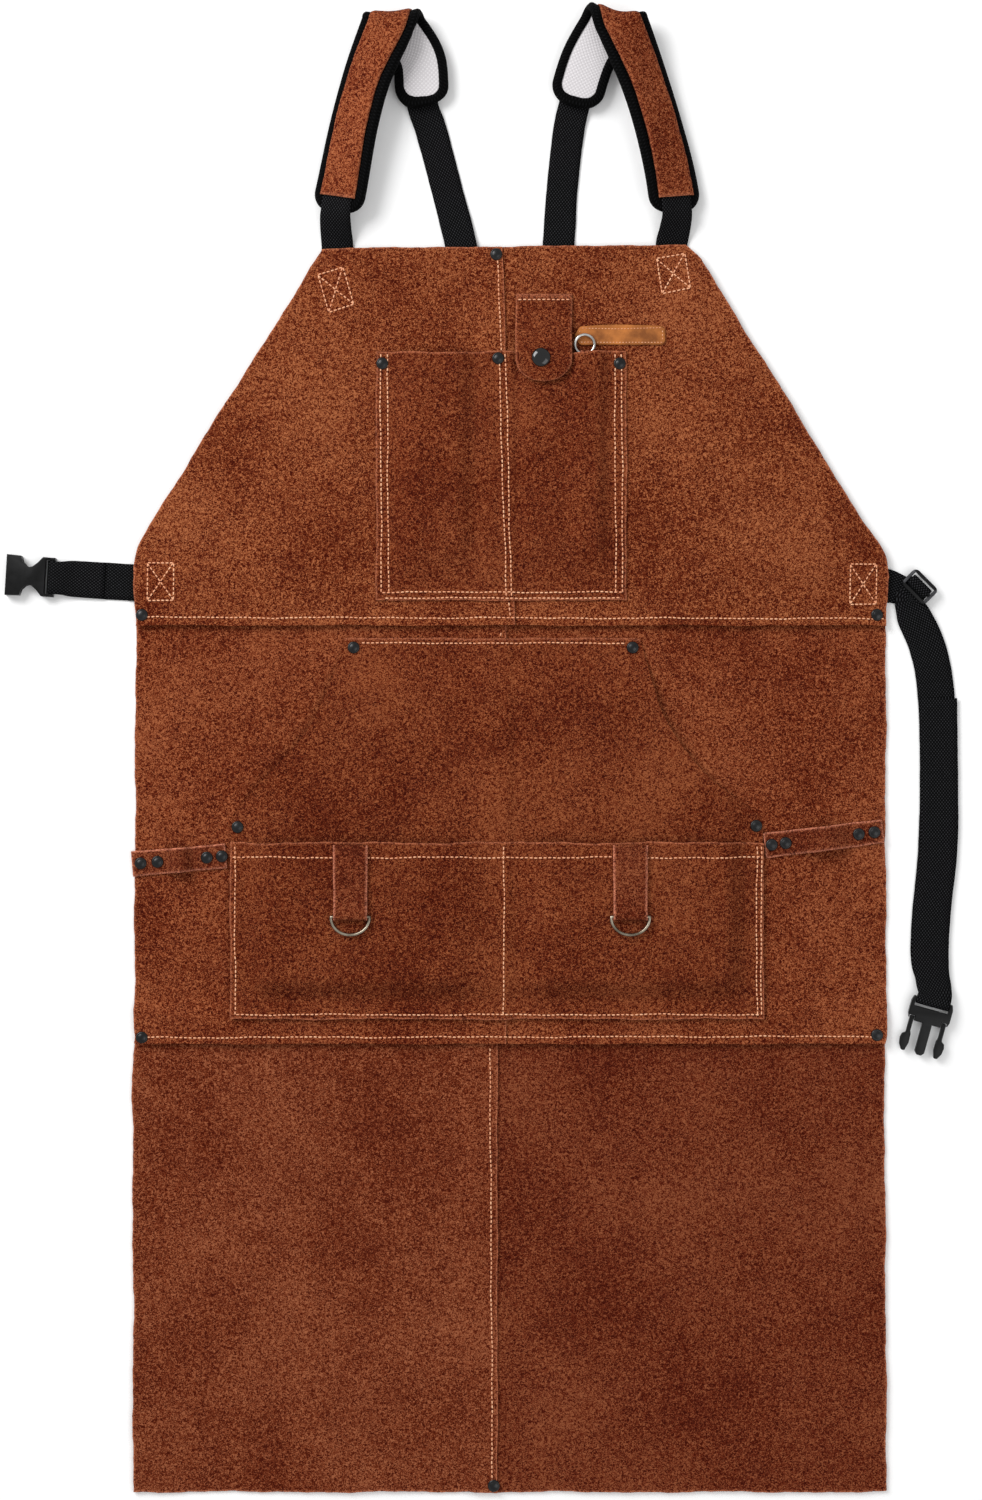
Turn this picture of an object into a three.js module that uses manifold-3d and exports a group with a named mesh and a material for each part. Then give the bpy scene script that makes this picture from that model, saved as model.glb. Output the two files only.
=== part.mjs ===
// Suede welding apron laid flat on its back: bib, middle and skirt panels, pockets,
// padded shoulder straps, waist straps and hardware. Millimetres, +Y towards the bib, +Z up.
import * as THREE from "three";
import { mergeVertices } from "three/addons/utils/BufferGeometryUtils.js";
import Module from "manifold-3d";

const wasm = await Module();
wasm.setup();

// ---- Leather body ----
const LEATHER = 1.4; // split cowhide thickness
const GAP = 0.3; // space kept between touching pieces
const PLY = LEATHER + GAP; // height that one layer of leather takes up
const HALF_WIDTH = 301; // from the centre line to a straight side edge
const SKIRT_TOP = 374; // upper edge of the skirt, hidden under the middle panel
const MIDDLE_BOTTOM = 359;
const MIDDLE_TOP = 709; // upper edge of the middle panel, hidden under the bib
const BIB_BOTTOM = 693;
const WAIST_CORNER = 740; // where the straight side starts to turn in
const WAIST_SHOULDER = 776; // where the turn meets the slanted side
const WAIST_TURN = (WAIST_CORNER + WAIST_SHOULDER) / 2 + 2; // middle of the turn
const TURN_IN = 6; // how far the side has come in at the middle of the turn
const SHOULDER_HALF = HALF_WIDTH - 17;
const BIB_TOP = 995;
const BIB_TOP_HALF = 148;
const LAP_WIDTH = 16; // how far one half of a panel runs under the other
const JOGGLE = 14; // length over which a lapped panel steps up or down
const BIB_LAP_EDGE = 0; // the cut edge of the upper half, from the centre line
const MIDDLE_LAP_EDGE = -3;
const SKIRT_LAP_EDGE = -10;

// ---- Pockets ----
const CHEST = { left: -107, right: 93, bottom: 713, top: 912, puff: 8, snapPuff: 3.5 };
const HAND = { left: -223, right: 202, bottom: 383, top: 683, topLeft: -131, topRight: 104 };
const HAND_PUFF = 5;
const TOOL = { left: -223.5, right: 202.5, bottom: 379, top: 520, puff: 6 };
const DIVIDER_LEFT = -14; // flat strip of the seam that splits a pocket in two
const DIVIDER_RIGHT = 5;
const RIM = 11; // flat sewn margin round a pocket
const SWELL = 21; // width over which a pocket rises from its margin
const PUFF_LEFT = -46; // where the pockets' two bulges are full again beside the divider
const PUFF_RIGHT = 36;
const aboveMouth = (distance) => TOOL.top + distance; // heights counted from the tool pocket's mouth

// ---- Snap flap ----
const FLAP = { left: 4.4, right: 49.4, top: 957.6, bottom: 887, round: 9 };
const FLAP_LIFT = 7.7; // how far the free end stands above the sewn end
const SNAP_X = 24.6;
const SNAP_Y = 906;
const SNAP_CAP_RADIUS = 7.5;
const SNAP_POST_RADIUS = 1.6;
const SOCKET_RADIUS = 5;
const SOCKET_BORE = 2.7;
const SOCKET_HEIGHT = 1.6;
const STUD_RADIUS = 2;

// ---- Label and chest ring ----
const LABEL = { left: 53.8, right: 123.8, bottom: 917, top: 933, thickness: 1.2, arch: 1.5 };
const CHEST_RING_X = 59.5;
const CHEST_RING_Y = 917;
const CHEST_RING_RADIUS = 7.75; // to the middle of the wire
const CHEST_WIRE_RADIUS = 1.25;
const KEEPER_HALF = 3;
const KEEPER_LEATHER = 1;
const KEEPER_LENGTH = 19;

// ---- Tool rings and their tabs ----
const RING_TABS = { left: -127, right: 95.6 };
const TAB_HALF = 13.6;
const TAB_TOP = 518;
const TAB_LEATHER = 1.2;
const RING_BAR_Y = 461;
const RING_HALF = 15.3; // from the ring's centre to the middle of its wire
const RING_DROP = 14.3;
const RING_WIRE_RADIUS = 1.2;

// ---- Hammer loops ----
const LOOP_WIDTH = 19.5;
const LOOP_LEATHER = 1.6;
const LOOP_BOW = 8;
const LOOP_FLAT = 24; // riveted length at each end of a loop
const LEFT_LOOP = {
  from: [-HALF_WIDTH - 1, aboveMouth(-17.5)],
  to: [HAND.left - 4, aboveMouth(-11)],
  rivets: { fromStart: [7, 20.5], fromEnd: [15.3, 3.3] },
};
const RIGHT_LOOP = {
  from: [HAND.right + 1.5, aboveMouth(-2.8)],
  to: [HALF_WIDTH - 3, aboveMouth(8.8)],
  rivets: { fromStart: [5.6, 16.8], fromEnd: [19.7, 7.2] },
};

// ---- Rivets ----
const RIVET_HEAD = 5.2;
const RIVET_DOME = 2.4;
const RIVET_POST = 1.6;
const POST_CLEARANCE = 0.3;

// ---- Webbing, pads and buckles ----
const WEBBING = 1.2; // thickness of every strap
const SHOULDER_HALF_WIDTH = 12.5;
const WAIST_HALF_WIDTH = 14.5;
const LOWER_STRAP_Z = 0.9; // middle of a strap lying on the table
const UPPER_STRAP_Z = 2.4; // middle of a strap lying on another strap
const PAD_HALF = 21;
const PAD_CORNER = 16;
const BINDING_WIDTH = 4.2;
const BINDING_CLEARANCE = 1.2; // between the binding and the foam inside it
const STRIP_START = 13; // from a pad's front end to its leather strip
const STRIP_END = 8;
const PAD_STRIP_HALF = 14.5;
const FOAM_THICKNESS = 5.1;
const LINING_THICKNESS = 0.9;
const FOLD_TOP_Z = 25.6; // webbing height where a pad starts to fold over
const FOLD_BOTTOM_Z = 5.6; // webbing height where the fold has turned under
const BACK_Z = 2.8; // webbing height of a pad's back leg
const FRONT_Z = 13.6; // webbing height at the front end of a pad
const BUCKLE_STRAP_HALF = 13.2; // strap half width where it passes a buckle
const SLIDER_STRAP_HALF = 9.5;

const COLOURS = {
  suede: 0x8a4a26,
  tan: 0xc8803c,
  webbing: 0x17171a,
  binding: 0x111113,
  lining: 0xd8d4d4,
  foam: 0x2a2a2c,
  plastic: 0x121316,
  rivet: 0x1a1c20,
  steel: 0xb9b9b4,
  antique: 0x8c8474,
};

function material(name) {
  const metal = ["rivet", "steel", "antique"].includes(name);
  return new THREE.MeshStandardMaterial({
    color: COLOURS[name],
    roughness: metal ? 0.35 : name === "plastic" ? 0.4 : 0.9,
    metalness: metal ? 0.9 : 0,
  });
}

const apron = new THREE.Group();

function addPart(name, geometry, look) {
  const mesh = new THREE.Mesh(geometry, material(look));
  mesh.name = name;
  apron.add(mesh);
  return mesh;
}

// ---- Solids: joining and cutting ----
function toSolid(geometry) {
  const bare = geometry.clone();
  bare.deleteAttribute("normal");
  bare.deleteAttribute("uv");
  const merged = mergeVertices(bare, 1e-3);
  return new wasm.Manifold(
    new wasm.Mesh({
      numProp: 3,
      vertProperties: merged.getAttribute("position").array,
      triVerts: new Uint32Array(merged.index.array),
    }),
  );
}

function toGeometry(solid) {
  const mesh = solid.getMesh();
  const geometry = new THREE.BufferGeometry();
  geometry.setAttribute("position", new THREE.BufferAttribute(mesh.vertProperties, 3));
  geometry.setIndex(new THREE.BufferAttribute(mesh.triVerts, 1));
  return geometry;
}

function cut(geometry, cutters) {
  let solid = toSolid(geometry);
  for (const cutter of cutters) solid = solid.subtract(toSolid(cutter));
  return toGeometry(solid);
}

function join(geometries) {
  let solid = toSolid(geometries[0]);
  for (const piece of geometries.slice(1)) solid = solid.add(toSolid(piece));
  return toGeometry(solid);
}

// A unit box whose grid points are placed by place(u, v, w), each from 0 to 1.
function gridBox(columns, rows, place) {
  const geometry = new THREE.BoxGeometry(1, 1, 1, columns, rows, 1);
  const position = geometry.getAttribute("position");
  for (let i = 0; i < position.count; i++) {
    const u = position.getX(i) + 0.5;
    const v = position.getY(i) + 0.5;
    const w = position.getZ(i) + 0.5;
    position.setXYZ(i, ...place(u, v, w));
  }
  alignDiagonals(geometry);
  return geometry;
}

// Splits the cells of a grid box's last face along the same diagonals as the face above it,
// so that a sheet keeps its thickness where it twists and stacked sheets stay parallel.
function alignDiagonals(geometry) {
  const index = geometry.getIndex();
  const { start, count } = geometry.groups[5];
  for (let i = start; i < start + count; i += 6) {
    const [a, b, c, d] = [0, 1, 4, 5].map((k) => index.getX(i + k));
    [a, b, c, a, c, d].forEach((vertex, k) => index.setX(i + k, vertex));
  }
}

// Straight lines through [position, value] pairs, level beyond both ends.
function ramp(...points) {
  return (s) => {
    if (s <= points[0][0]) return points[0][1];
    for (let i = 1; i < points.length; i++) {
      const [a, low] = points[i - 1];
      const [b, high] = points[i];
      if (s <= b) return THREE.MathUtils.mapLinear(s, a, b, low, high);
    }
    return points[points.length - 1][1];
  };
}

function sorted(...values) {
  const unique = [...new Set(values)];
  return unique.sort((a, b) => a - b);
}

// A sheet of leather on a grid of x and y lines. heightOf gives its underside.
function sheet(xs, ys, heightOf, outline = (x, y) => [x, y], thickness = LEATHER) {
  return gridBox(xs.length - 1, ys.length - 1, (u, v, w) => {
    const x = xs[Math.round(u * (xs.length - 1))];
    const y = ys[Math.round(v * (ys.length - 1))];
    return [...outline(x, y), heightOf(x, y) + w * thickness];
  });
}

// ---- Panels ----
// The upper half of a panel steps up by one ply over the hidden edge of the other half.
function lapStep(edge) {
  const start = edge - LAP_WIDTH - 1;
  return ramp([start - JOGGLE, 0], [start, 1]);
}

// What lies on a lapped seam steps up with it and comes down beyond the cut edge.
function overLap(edge) {
  const start = edge - LAP_WIDTH - 1;
  return ramp([start - JOGGLE, 0], [start, 1], [edge + 0.5, 1], [edge + 8, 0]);
}

function lapLines(edge) {
  const start = edge - LAP_WIDTH - 1;
  return [start - JOGGLE, start, edge + 0.5, edge + 8];
}

const RISE_TOP = MIDDLE_BOTTOM + 19; // the middle panel comes down behind the skirt's upper edge
const RISE_END = MIDDLE_BOTTOM + 39;
const seamRise = ramp([RISE_TOP, 2 * PLY], [RISE_END, 0]);
const skirtLap = lapStep(SKIRT_LAP_EDGE);
const middleLap = lapStep(MIDDLE_LAP_EDGE);
const bibLap = lapStep(BIB_LAP_EDGE);

const PANELS = {
  skirt: { edge: SKIRT_LAP_EDGE, ys: [0, SKIRT_TOP], under: () => 0, lap: skirtLap },
  middle: {
    edge: MIDDLE_LAP_EDGE,
    ys: [MIDDLE_BOTTOM, RISE_TOP, RISE_END, MIDDLE_TOP],
    under: seamRise,
    lap: middleLap,
  },
  bib: {
    edge: BIB_LAP_EDGE,
    ys: [BIB_BOTTOM, WAIST_CORNER, WAIST_TURN, WAIST_SHOULDER, BIB_TOP],
    under: () => 2 * PLY,
    lap: bibLap,
  },
};

// Half width of the body: straight up to the waist, turned in, then slanted to the bib top.
const halfWidthAt = ramp(
  [WAIST_CORNER, HALF_WIDTH],
  [WAIST_TURN, HALF_WIDTH - TURN_IN],
  [WAIST_SHOULDER, SHOULDER_HALF],
  [BIB_TOP, BIB_TOP_HALF],
);

function panelHalf(panel, side) {
  const { edge, ys, under, lap } = PANELS[panel];
  const start = edge - LAP_WIDTH - 1;
  const isLeft = side === "left";
  const xs = isLeft
    ? [-HALF_WIDTH, start - JOGGLE, start, edge]
    : [edge - LAP_WIDTH, edge + 8, HALF_WIDTH];
  const outline = (x, y) => [Math.abs(x) === HALF_WIDTH ? Math.sign(x) * halfWidthAt(y) : x, y];
  const heightOf = (x, y) => under(y) + (isLeft ? PLY * lap(x) : 0);
  return { xs, ys, heightOf, outline, thickness: LEATHER };
}

const sheets = {};
for (const panel of Object.keys(PANELS)) {
  for (const side of ["left", "right"]) sheets[`${panel}_${side}`] = panelHalf(panel, side);
}

// ---- Chest pocket ----
const chestUnder = overLap(BIB_LAP_EDGE);
const chestBulge = {
  leftFull: CHEST.left + RIM + SWELL,
  leftDown: PUFF_LEFT + 1,
  divider: DIVIDER_LEFT - 12,
  snapStart: FLAP.left + 9.6,
  snapEnd: FLAP.right - 3,
  rightFull: FLAP.right + 4,
  rightDown: CHEST.right - 2 * RIM,
  low: CHEST.bottom + RIM + 3,
  full: CHEST.bottom + 45,
};
const chestAcross = ramp(
  [CHEST.left + RIM, 0],
  [chestBulge.leftFull, CHEST.puff],
  [chestBulge.leftDown, CHEST.puff],
  [chestBulge.divider, 0],
  [DIVIDER_RIGHT, 0],
  [chestBulge.snapStart, CHEST.snapPuff],
  [chestBulge.snapEnd, CHEST.snapPuff],
  [chestBulge.rightFull, CHEST.puff],
  [chestBulge.rightDown, CHEST.puff],
  [CHEST.right - RIM, 0],
);
const chestUp = ramp([chestBulge.low, 0], [chestBulge.full, 1]);
sheets.chest_pocket = {
  xs: sorted(
    CHEST.left, CHEST.left + RIM, chestBulge.leftFull, chestBulge.leftDown, chestBulge.divider,
    DIVIDER_RIGHT, chestBulge.snapStart, chestBulge.snapEnd, chestBulge.rightFull,
    chestBulge.rightDown, CHEST.right - RIM, CHEST.right, ...lapLines(BIB_LAP_EDGE),
  ),
  ys: [CHEST.bottom, chestBulge.low, chestBulge.full, CHEST.top],
  heightOf: (x, y) => 3 * PLY + PLY * chestUnder(x) + chestAcross(x) * chestUp(y),
  outline: (x, y) => [x, y],
  thickness: LEATHER,
};

// ---- Hand pocket, and the tool pocket sewn over its lower part ----
const lowerUnder = overLap(MIDDLE_LAP_EDGE);
const bulge = {
  leftFull: HAND.left + RIM + SWELL,
  rightFull: HAND.right - RIM - SWELL,
  low: TOOL.bottom + RIM,
  full: TOOL.bottom + RIM + 23,
};
const handAcross = ramp(
  [HAND.left + RIM, 0],
  [bulge.leftFull, 1],
  [bulge.rightFull, 1],
  [HAND.right - RIM, 0],
);
const HAND_DROP = aboveMouth(116); // where the hand pocket starts down to its sewn top
const handUp = ramp([bulge.low, 0], [bulge.full, 1], [HAND_DROP, 1], [HAND.top - 13, 0]);
const SLIT_START = aboveMouth(29);
const SLIT_FULL = aboveMouth(50);
const slitOpen = ramp([SLIT_START, 0], [SLIT_FULL, 1], [HAND_DROP, 1], [HAND.top - 19, 0]);
const toolAcross = ramp(
  [HAND.left + RIM, 0],
  [bulge.leftFull, 1],
  [PUFF_LEFT, 1],
  [DIVIDER_LEFT, 0],
  [DIVIDER_RIGHT, 0],
  [PUFF_RIGHT, 1],
  [bulge.rightFull, 1],
  [HAND.right - RIM, 0],
);
const toolUp = ramp([bulge.low, 0], [bulge.full, 1]);
const pocketLines = sorted(
  HAND.left + RIM, bulge.leftFull, PUFF_LEFT, DIVIDER_LEFT, DIVIDER_RIGHT, PUFF_RIGHT,
  bulge.rightFull, HAND.right - RIM, ...lapLines(MIDDLE_LAP_EDGE),
);
const lowerLines = [bulge.low, RISE_END, bulge.full, TOOL.top];

function handPuff(x, y) {
  const isSide = x <= HAND.left || x >= HAND.right;
  const across = isSide ? 0 : handAcross(x);
  return HAND_PUFF * handUp(y) * Math.max(across, slitOpen(y));
}

const handHeight = (x, y) => PLY + seamRise(y) + PLY * lowerUnder(x) + handPuff(x, y);

// The sides are upright up to the tool pocket's mouth, then scoop in to the narrower top.
const handLeftAt = ramp(
  [aboveMouth(20), HAND.left],
  [SLIT_FULL, HAND.left + 27],
  [aboveMouth(90), HAND.left + 65],
  [aboveMouth(130), HAND.topLeft - 10],
  [HAND.top, HAND.topLeft],
);
const handRightAt = ramp(
  [aboveMouth(26), HAND.right],
  [aboveMouth(40), HAND.right - 32],
  [aboveMouth(66), HAND.right - 59],
  [aboveMouth(100), HAND.topRight + 17],
  [HAND.top, HAND.topRight],
);
const STEADY = 46; // columns nearer the centre than this keep their place

function handOutline(x, y) {
  if (x < -STEADY) {
    return [THREE.MathUtils.mapLinear(x, -STEADY, HAND.left, -STEADY, handLeftAt(y)), y];
  }
  if (x > STEADY) {
    return [THREE.MathUtils.mapLinear(x, STEADY, HAND.right, STEADY, handRightAt(y)), y];
  }
  return [x, y];
}

sheets.hand_pocket = {
  xs: sorted(HAND.left, ...pocketLines, HAND.right),
  ys: sorted(
    HAND.bottom, ...lowerLines, ...[20, 40, 66, 90, 130].map(aboveMouth), SLIT_START, SLIT_FULL,
    HAND_DROP, HAND.top - 19, HAND.top - 13, HAND.top,
  ),
  heightOf: handHeight,
  outline: handOutline,
  thickness: LEATHER,
};
sheets.tool_pocket = {
  xs: sorted(TOOL.left, ...pocketLines, TOOL.right),
  ys: sorted(TOOL.bottom, HAND.bottom, ...lowerLines),
  heightOf: (x, y) => handHeight(x, y) + PLY + TOOL.puff * toolAcross(x) * toolUp(y),
  outline: (x, y) => [x, y],
  thickness: LEATHER,
};

// ---- Hammer loops ----
// A strap riveted flat at both ends that bows up in between.
function hammerLoop({ from, to }) {
  const start = new THREE.Vector2(...from);
  const along = new THREE.Vector2(...to).sub(start);
  const length = along.length();
  along.normalize();
  const bowStart = LOOP_FLAT + 2;
  const bowEnd = length - LOOP_FLAT - 2;
  const middle = (bowStart + bowEnd) / 2;
  const rise = ramp(
    [bowStart, 0],
    [(bowStart + middle) / 2, LOOP_BOW * 0.8],
    [middle, LOOP_BOW],
    [(bowEnd + middle) / 2, LOOP_BOW * 0.8],
    [bowEnd, 0],
  );
  return {
    xs: [0, bowStart, (bowStart + middle) / 2, middle, (bowEnd + middle) / 2, bowEnd, length],
    ys: [-LOOP_WIDTH / 2, LOOP_WIDTH / 2],
    heightOf: (s) => PLY + rise(s),
    outline: (s, across) => [
      start.x + along.x * s - along.y * across,
      start.y + along.y * s + along.x * across,
    ],
    thickness: LOOP_LEATHER,
  };
}

sheets.hammer_loop_left = hammerLoop(LEFT_LOOP);
sheets.hammer_loop_right = hammerLoop(RIGHT_LOOP);

// ---- Rivets ----
const LOOP_TOP = PLY + LOOP_LEATHER;
const POCKET_TOP = PLY + LEATHER;

function onLoop({ from, to, rivets }) {
  const start = new THREE.Vector2(...from);
  const span = new THREE.Vector2(...to).sub(start);
  const distances = [...rivets.fromStart, ...rivets.fromEnd.map((distance) => span.length() - distance)];
  span.normalize();
  return distances.map((distance) => start.clone().addScaledVector(span, distance).toArray());
}

const bibTop = 2 * PLY + LEATHER;
const SIDE_INSET = 7.5; // from a side edge to the rivets beside it
const RIVETS = [
  {
    name: "bib_top", at: [BIB_LAP_EDGE - 11, BIB_TOP - 6], base: 2 * PLY, seat: bibTop + PLY,
    through: ["bib_left", "bib_right"],
  },
  {
    name: "chest_left", at: [CHEST.left + 5, CHEST.top - 10], base: 2 * PLY, seat: bibTop + PLY,
    through: ["bib_left", "chest_pocket"],
  },
  {
    name: "chest_middle", at: [BIB_LAP_EDGE - 9.5, CHEST.top - 6], base: 2 * PLY, seat: bibTop + 2 * PLY,
    through: ["bib_left", "bib_right", "chest_pocket"],
  },
  {
    name: "chest_right", at: [CHEST.right - 5.5, CHEST.top - 10], base: 2 * PLY, seat: bibTop + PLY,
    through: ["bib_right", "chest_pocket"],
  },
  {
    name: "waist_left", at: [SIDE_INSET - HALF_WIDTH, BIB_BOTTOM + 8.5], base: 0, seat: bibTop,
    through: ["bib_left", "middle_left"],
  },
  {
    name: "waist_right", at: [HALF_WIDTH - SIDE_INSET, BIB_BOTTOM + 8.5], base: 0, seat: bibTop,
    through: ["bib_right", "middle_right"],
  },
  {
    name: "hand_top_left", at: [HAND.topLeft + 6, HAND.top - 7.5], base: 0, seat: POCKET_TOP,
    through: ["middle_left", "hand_pocket"],
  },
  {
    name: "hand_top_right", at: [HAND.topRight - 6, HAND.top - 7.5], base: 0, seat: POCKET_TOP,
    through: ["middle_right", "hand_pocket"],
  },
  {
    name: "hand_side_left", at: [HAND.left + 5.3, aboveMouth(12)], base: 0, seat: POCKET_TOP,
    through: ["middle_left", "hand_pocket"],
  },
  {
    name: "hand_side_right", at: [HAND.right - 5.3, aboveMouth(13)], base: 0, seat: POCKET_TOP,
    through: ["middle_right", "hand_pocket"],
  },
  {
    name: "seam_left", at: [SIDE_INSET - HALF_WIDTH, MIDDLE_BOTTOM + 5], base: 0, seat: bibTop,
    through: ["middle_left", "skirt_left"],
  },
  {
    name: "seam_right", at: [HALF_WIDTH - SIDE_INSET, MIDDLE_BOTTOM + 7], base: 0, seat: bibTop,
    through: ["middle_right", "skirt_right"],
  },
  {
    name: "hem", at: [SKIRT_LAP_EDGE - 3, 6], base: 0, seat: POCKET_TOP,
    through: ["skirt_left", "skirt_right"],
  },
];
for (const [side, loop] of Object.entries({ left: LEFT_LOOP, right: RIGHT_LOOP })) {
  onLoop(loop).forEach((at, i) => {
    const through = [`middle_${side}`, `hammer_loop_${side}`];
    RIVETS.push({ name: `${side}_loop_${i + 1}`, at, base: 0, seat: LOOP_TOP, through });
  });
}

// A round post from z = bottom to z = top at x, y.
function post(radius, bottom, top, x, y, sides = 12) {
  const cylinder = new THREE.CylinderGeometry(radius, radius, top - bottom, sides);
  cylinder.rotateX(Math.PI / 2);
  cylinder.translate(x, y, (top + bottom) / 2);
  return cylinder;
}

function rivetGeometry({ at, base, seat }) {
  const low = base + 0.1;
  const head = seat + GAP;
  const profile = [
    [0, low],
    [RIVET_POST, low],
    [RIVET_POST, head],
    [RIVET_HEAD, head],
    [RIVET_HEAD * 0.94, head + RIVET_DOME * 0.5],
    [RIVET_HEAD * 0.6, head + RIVET_DOME * 0.88],
    [0, head + RIVET_DOME],
  ].map(([r, z]) => new THREE.Vector2(r, z));
  const lathe = new THREE.LatheGeometry(profile, 12);
  lathe.rotateX(Math.PI / 2);
  lathe.translate(at[0], at[1], 0);
  return lathe;
}

const holes = {};
for (const { at, through } of RIVETS) {
  for (const name of through) {
    holes[name] = holes[name] ?? [];
    holes[name].push(post(RIVET_POST + POST_CLEARANCE, -5, 30, ...at));
  }
}

const studPocketTop = 3 * PLY + CHEST.snapPuff + LEATHER;
holes.chest_pocket.push(post(SNAP_POST_RADIUS + POST_CLEARANCE, -5, 30, SNAP_X, SNAP_Y));

for (const [name, { xs, ys, heightOf, outline, thickness }] of Object.entries(sheets)) {
  const flat = sheet(xs, ys, heightOf, outline, thickness);
  addPart(name, holes[name] ? cut(flat, holes[name]) : flat, "suede");
}
for (const rivet of RIVETS) addPart(`rivet_${rivet.name}`, rivetGeometry(rivet), "rivet");

// ---- Snap flap, cap, socket and stud ----
const FLAP_FREE = FLAP.bottom + 30; // the flap is level and lifted below this
const FLAP_SEWN = FLAP.top - 12.6; // and flat on the bib above this
const flapRise = ramp([FLAP_FREE, FLAP_LIFT], [FLAP_SEWN, 0]);
const flapHeight = (x, y) => 3 * PLY + flapRise(y);

function flapOutline(x, y) {
  const middle = (FLAP.left + FLAP.right) / 2;
  const half = (FLAP.right - FLAP.left) / 2;
  const above = y - FLAP.bottom;
  const lost = FLAP.round - Math.sqrt(Math.max(0, FLAP.round ** 2 - (FLAP.round - above) ** 2));
  const width = above < FLAP.round ? half - lost : half;
  return [middle + ((x - middle) / half) * width, y];
}

const flapSheet = sheet(
  [FLAP.left, SNAP_X - 7, SNAP_X + 7, FLAP.right],
  [
    FLAP.bottom, FLAP.bottom + 1.5, FLAP.bottom + 4.5, FLAP.bottom + FLAP.round, FLAP_FREE,
    FLAP_SEWN, FLAP.top,
  ],
  flapHeight,
  flapOutline,
);
const flapTop = 3 * PLY + FLAP_LIFT + LEATHER;
const snapHole = post(SNAP_POST_RADIUS + POST_CLEARANCE, -5, 30, SNAP_X, SNAP_Y);
addPart("snap_flap", cut(flapSheet, [snapHole]), "suede");

function turned(profile, x, y, sides = 16) {
  const lathe = new THREE.LatheGeometry(profile.map(([r, z]) => new THREE.Vector2(r, z)), sides);
  lathe.rotateX(Math.PI / 2);
  lathe.translate(x, y, 0);
  return lathe;
}

const capSeat = flapTop + 0.2;
const socketTop = flapTop - LEATHER - 0.2;
const socketBottom = socketTop - SOCKET_HEIGHT;
addPart(
  "snap_cap",
  turned(
    [
      [0, socketTop - 0.6],
      [SNAP_POST_RADIUS, socketTop - 0.6],
      [SNAP_POST_RADIUS, capSeat],
      [SNAP_CAP_RADIUS, capSeat],
      [SNAP_CAP_RADIUS * 0.95, capSeat + 1.3],
      [SNAP_CAP_RADIUS * 0.65, capSeat + 2.6],
      [0, capSeat + 3.1],
    ],
    SNAP_X,
    SNAP_Y,
  ),
  "rivet",
);
addPart(
  "snap_socket",
  turned(
    [
      [SOCKET_BORE, socketBottom],
      [SOCKET_RADIUS, socketBottom],
      [SOCKET_RADIUS, socketTop],
      [SOCKET_BORE, socketTop],
      [SOCKET_BORE, socketBottom],
    ],
    SNAP_X,
    SNAP_Y,
  ),
  "steel",
);
addPart(
  "snap_stud",
  turned(
    [
      [0, studPocketTop - LEATHER - 1],
      [SOCKET_RADIUS, studPocketTop - LEATHER - 1],
      [SOCKET_RADIUS, studPocketTop - LEATHER - GAP],
      [SNAP_POST_RADIUS, studPocketTop - LEATHER - GAP],
      [SNAP_POST_RADIUS, studPocketTop + 0.4],
      [STUD_RADIUS, studPocketTop + 0.8],
      [STUD_RADIUS, socketBottom + 0.5],
      [0, socketBottom + 0.7],
    ],
    SNAP_X,
    SNAP_Y,
  ),
  "steel",
);

// ---- Label ----
const labelMiddle = (LABEL.left + LABEL.right) / 2;
const labelHalf = (LABEL.right - LABEL.left) / 2;
function labelOutline(x, y) {
  const across = (x - labelMiddle) / labelHalf;
  return [x, y === LABEL.top ? y - LABEL.arch * across * across : y];
}
const labelColumns = [-1, -0.6, -0.2, 0.2, 0.6, 1].map((k) => labelMiddle + labelHalf * k);
addPart(
  "label",
  sheet(labelColumns, [LABEL.bottom, LABEL.top], () => 3 * PLY, labelOutline, LABEL.thickness),
  "tan",
);

// ---- Straps: frames along a route ----
// Each route point is [x, y, z, hx, hy, hz]: the strap's centre and the direction of its width.
function framesAlong(route, halfWidth, stepAt) {
  const points = route.map(([x, y, z]) => new THREE.Vector3(x, y, z));
  const centre = new THREE.CatmullRomCurve3(points, false, "centripetal");
  const widths = route.map(([, , , hx, hy, hz = 0]) => new THREE.Vector3(hx, hy, hz));
  const spread = new THREE.CatmullRomCurve3(widths, false, "catmullrom", 0.5);
  const frames = [];
  for (let i = 0; i < route.length - 1; i++) {
    const steps = Math.max(1, Math.ceil(points[i].distanceTo(points[i + 1]) / stepAt(i)));
    const count = i === route.length - 2 ? steps + 1 : steps;
    for (let k = 0; k < count; k++) {
      const t = (i + k / steps) / (route.length - 1);
      const point = centre.getPoint(t);
      const heights = [points[i].z, points[i + 1].z];
      point.z = THREE.MathUtils.clamp(point.z, Math.min(...heights), Math.max(...heights));
      frames.push({ index: i + k / steps, point, half: spread.getPoint(t) });
    }
  }
  frames.forEach((frame, i) => {
    const before = frames[Math.max(0, i - 1)].point;
    const after = frames[Math.min(frames.length - 1, i + 1)].point;
    const tangent = after.clone().sub(before).normalize();
    const width = frame.half.length() > 2 ? frame.half.length() : halfWidth;
    frame.half.addScaledVector(tangent, -frame.half.dot(tangent));
    frame.half.normalize();
    frame.normal = frame.half.clone().cross(tangent).normalize();
    frame.half.multiplyScalar(width);
    frame.s = i === 0 ? 0 : frames[i - 1].s + frame.point.distanceTo(frames[i - 1].point);
  });
  return frames;
}

function onFrame(frame, across, height) {
  const side = frame.half.clone().normalize();
  return frame.point.clone().addScaledVector(side, across).addScaledVector(frame.normal, height);
}

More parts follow.
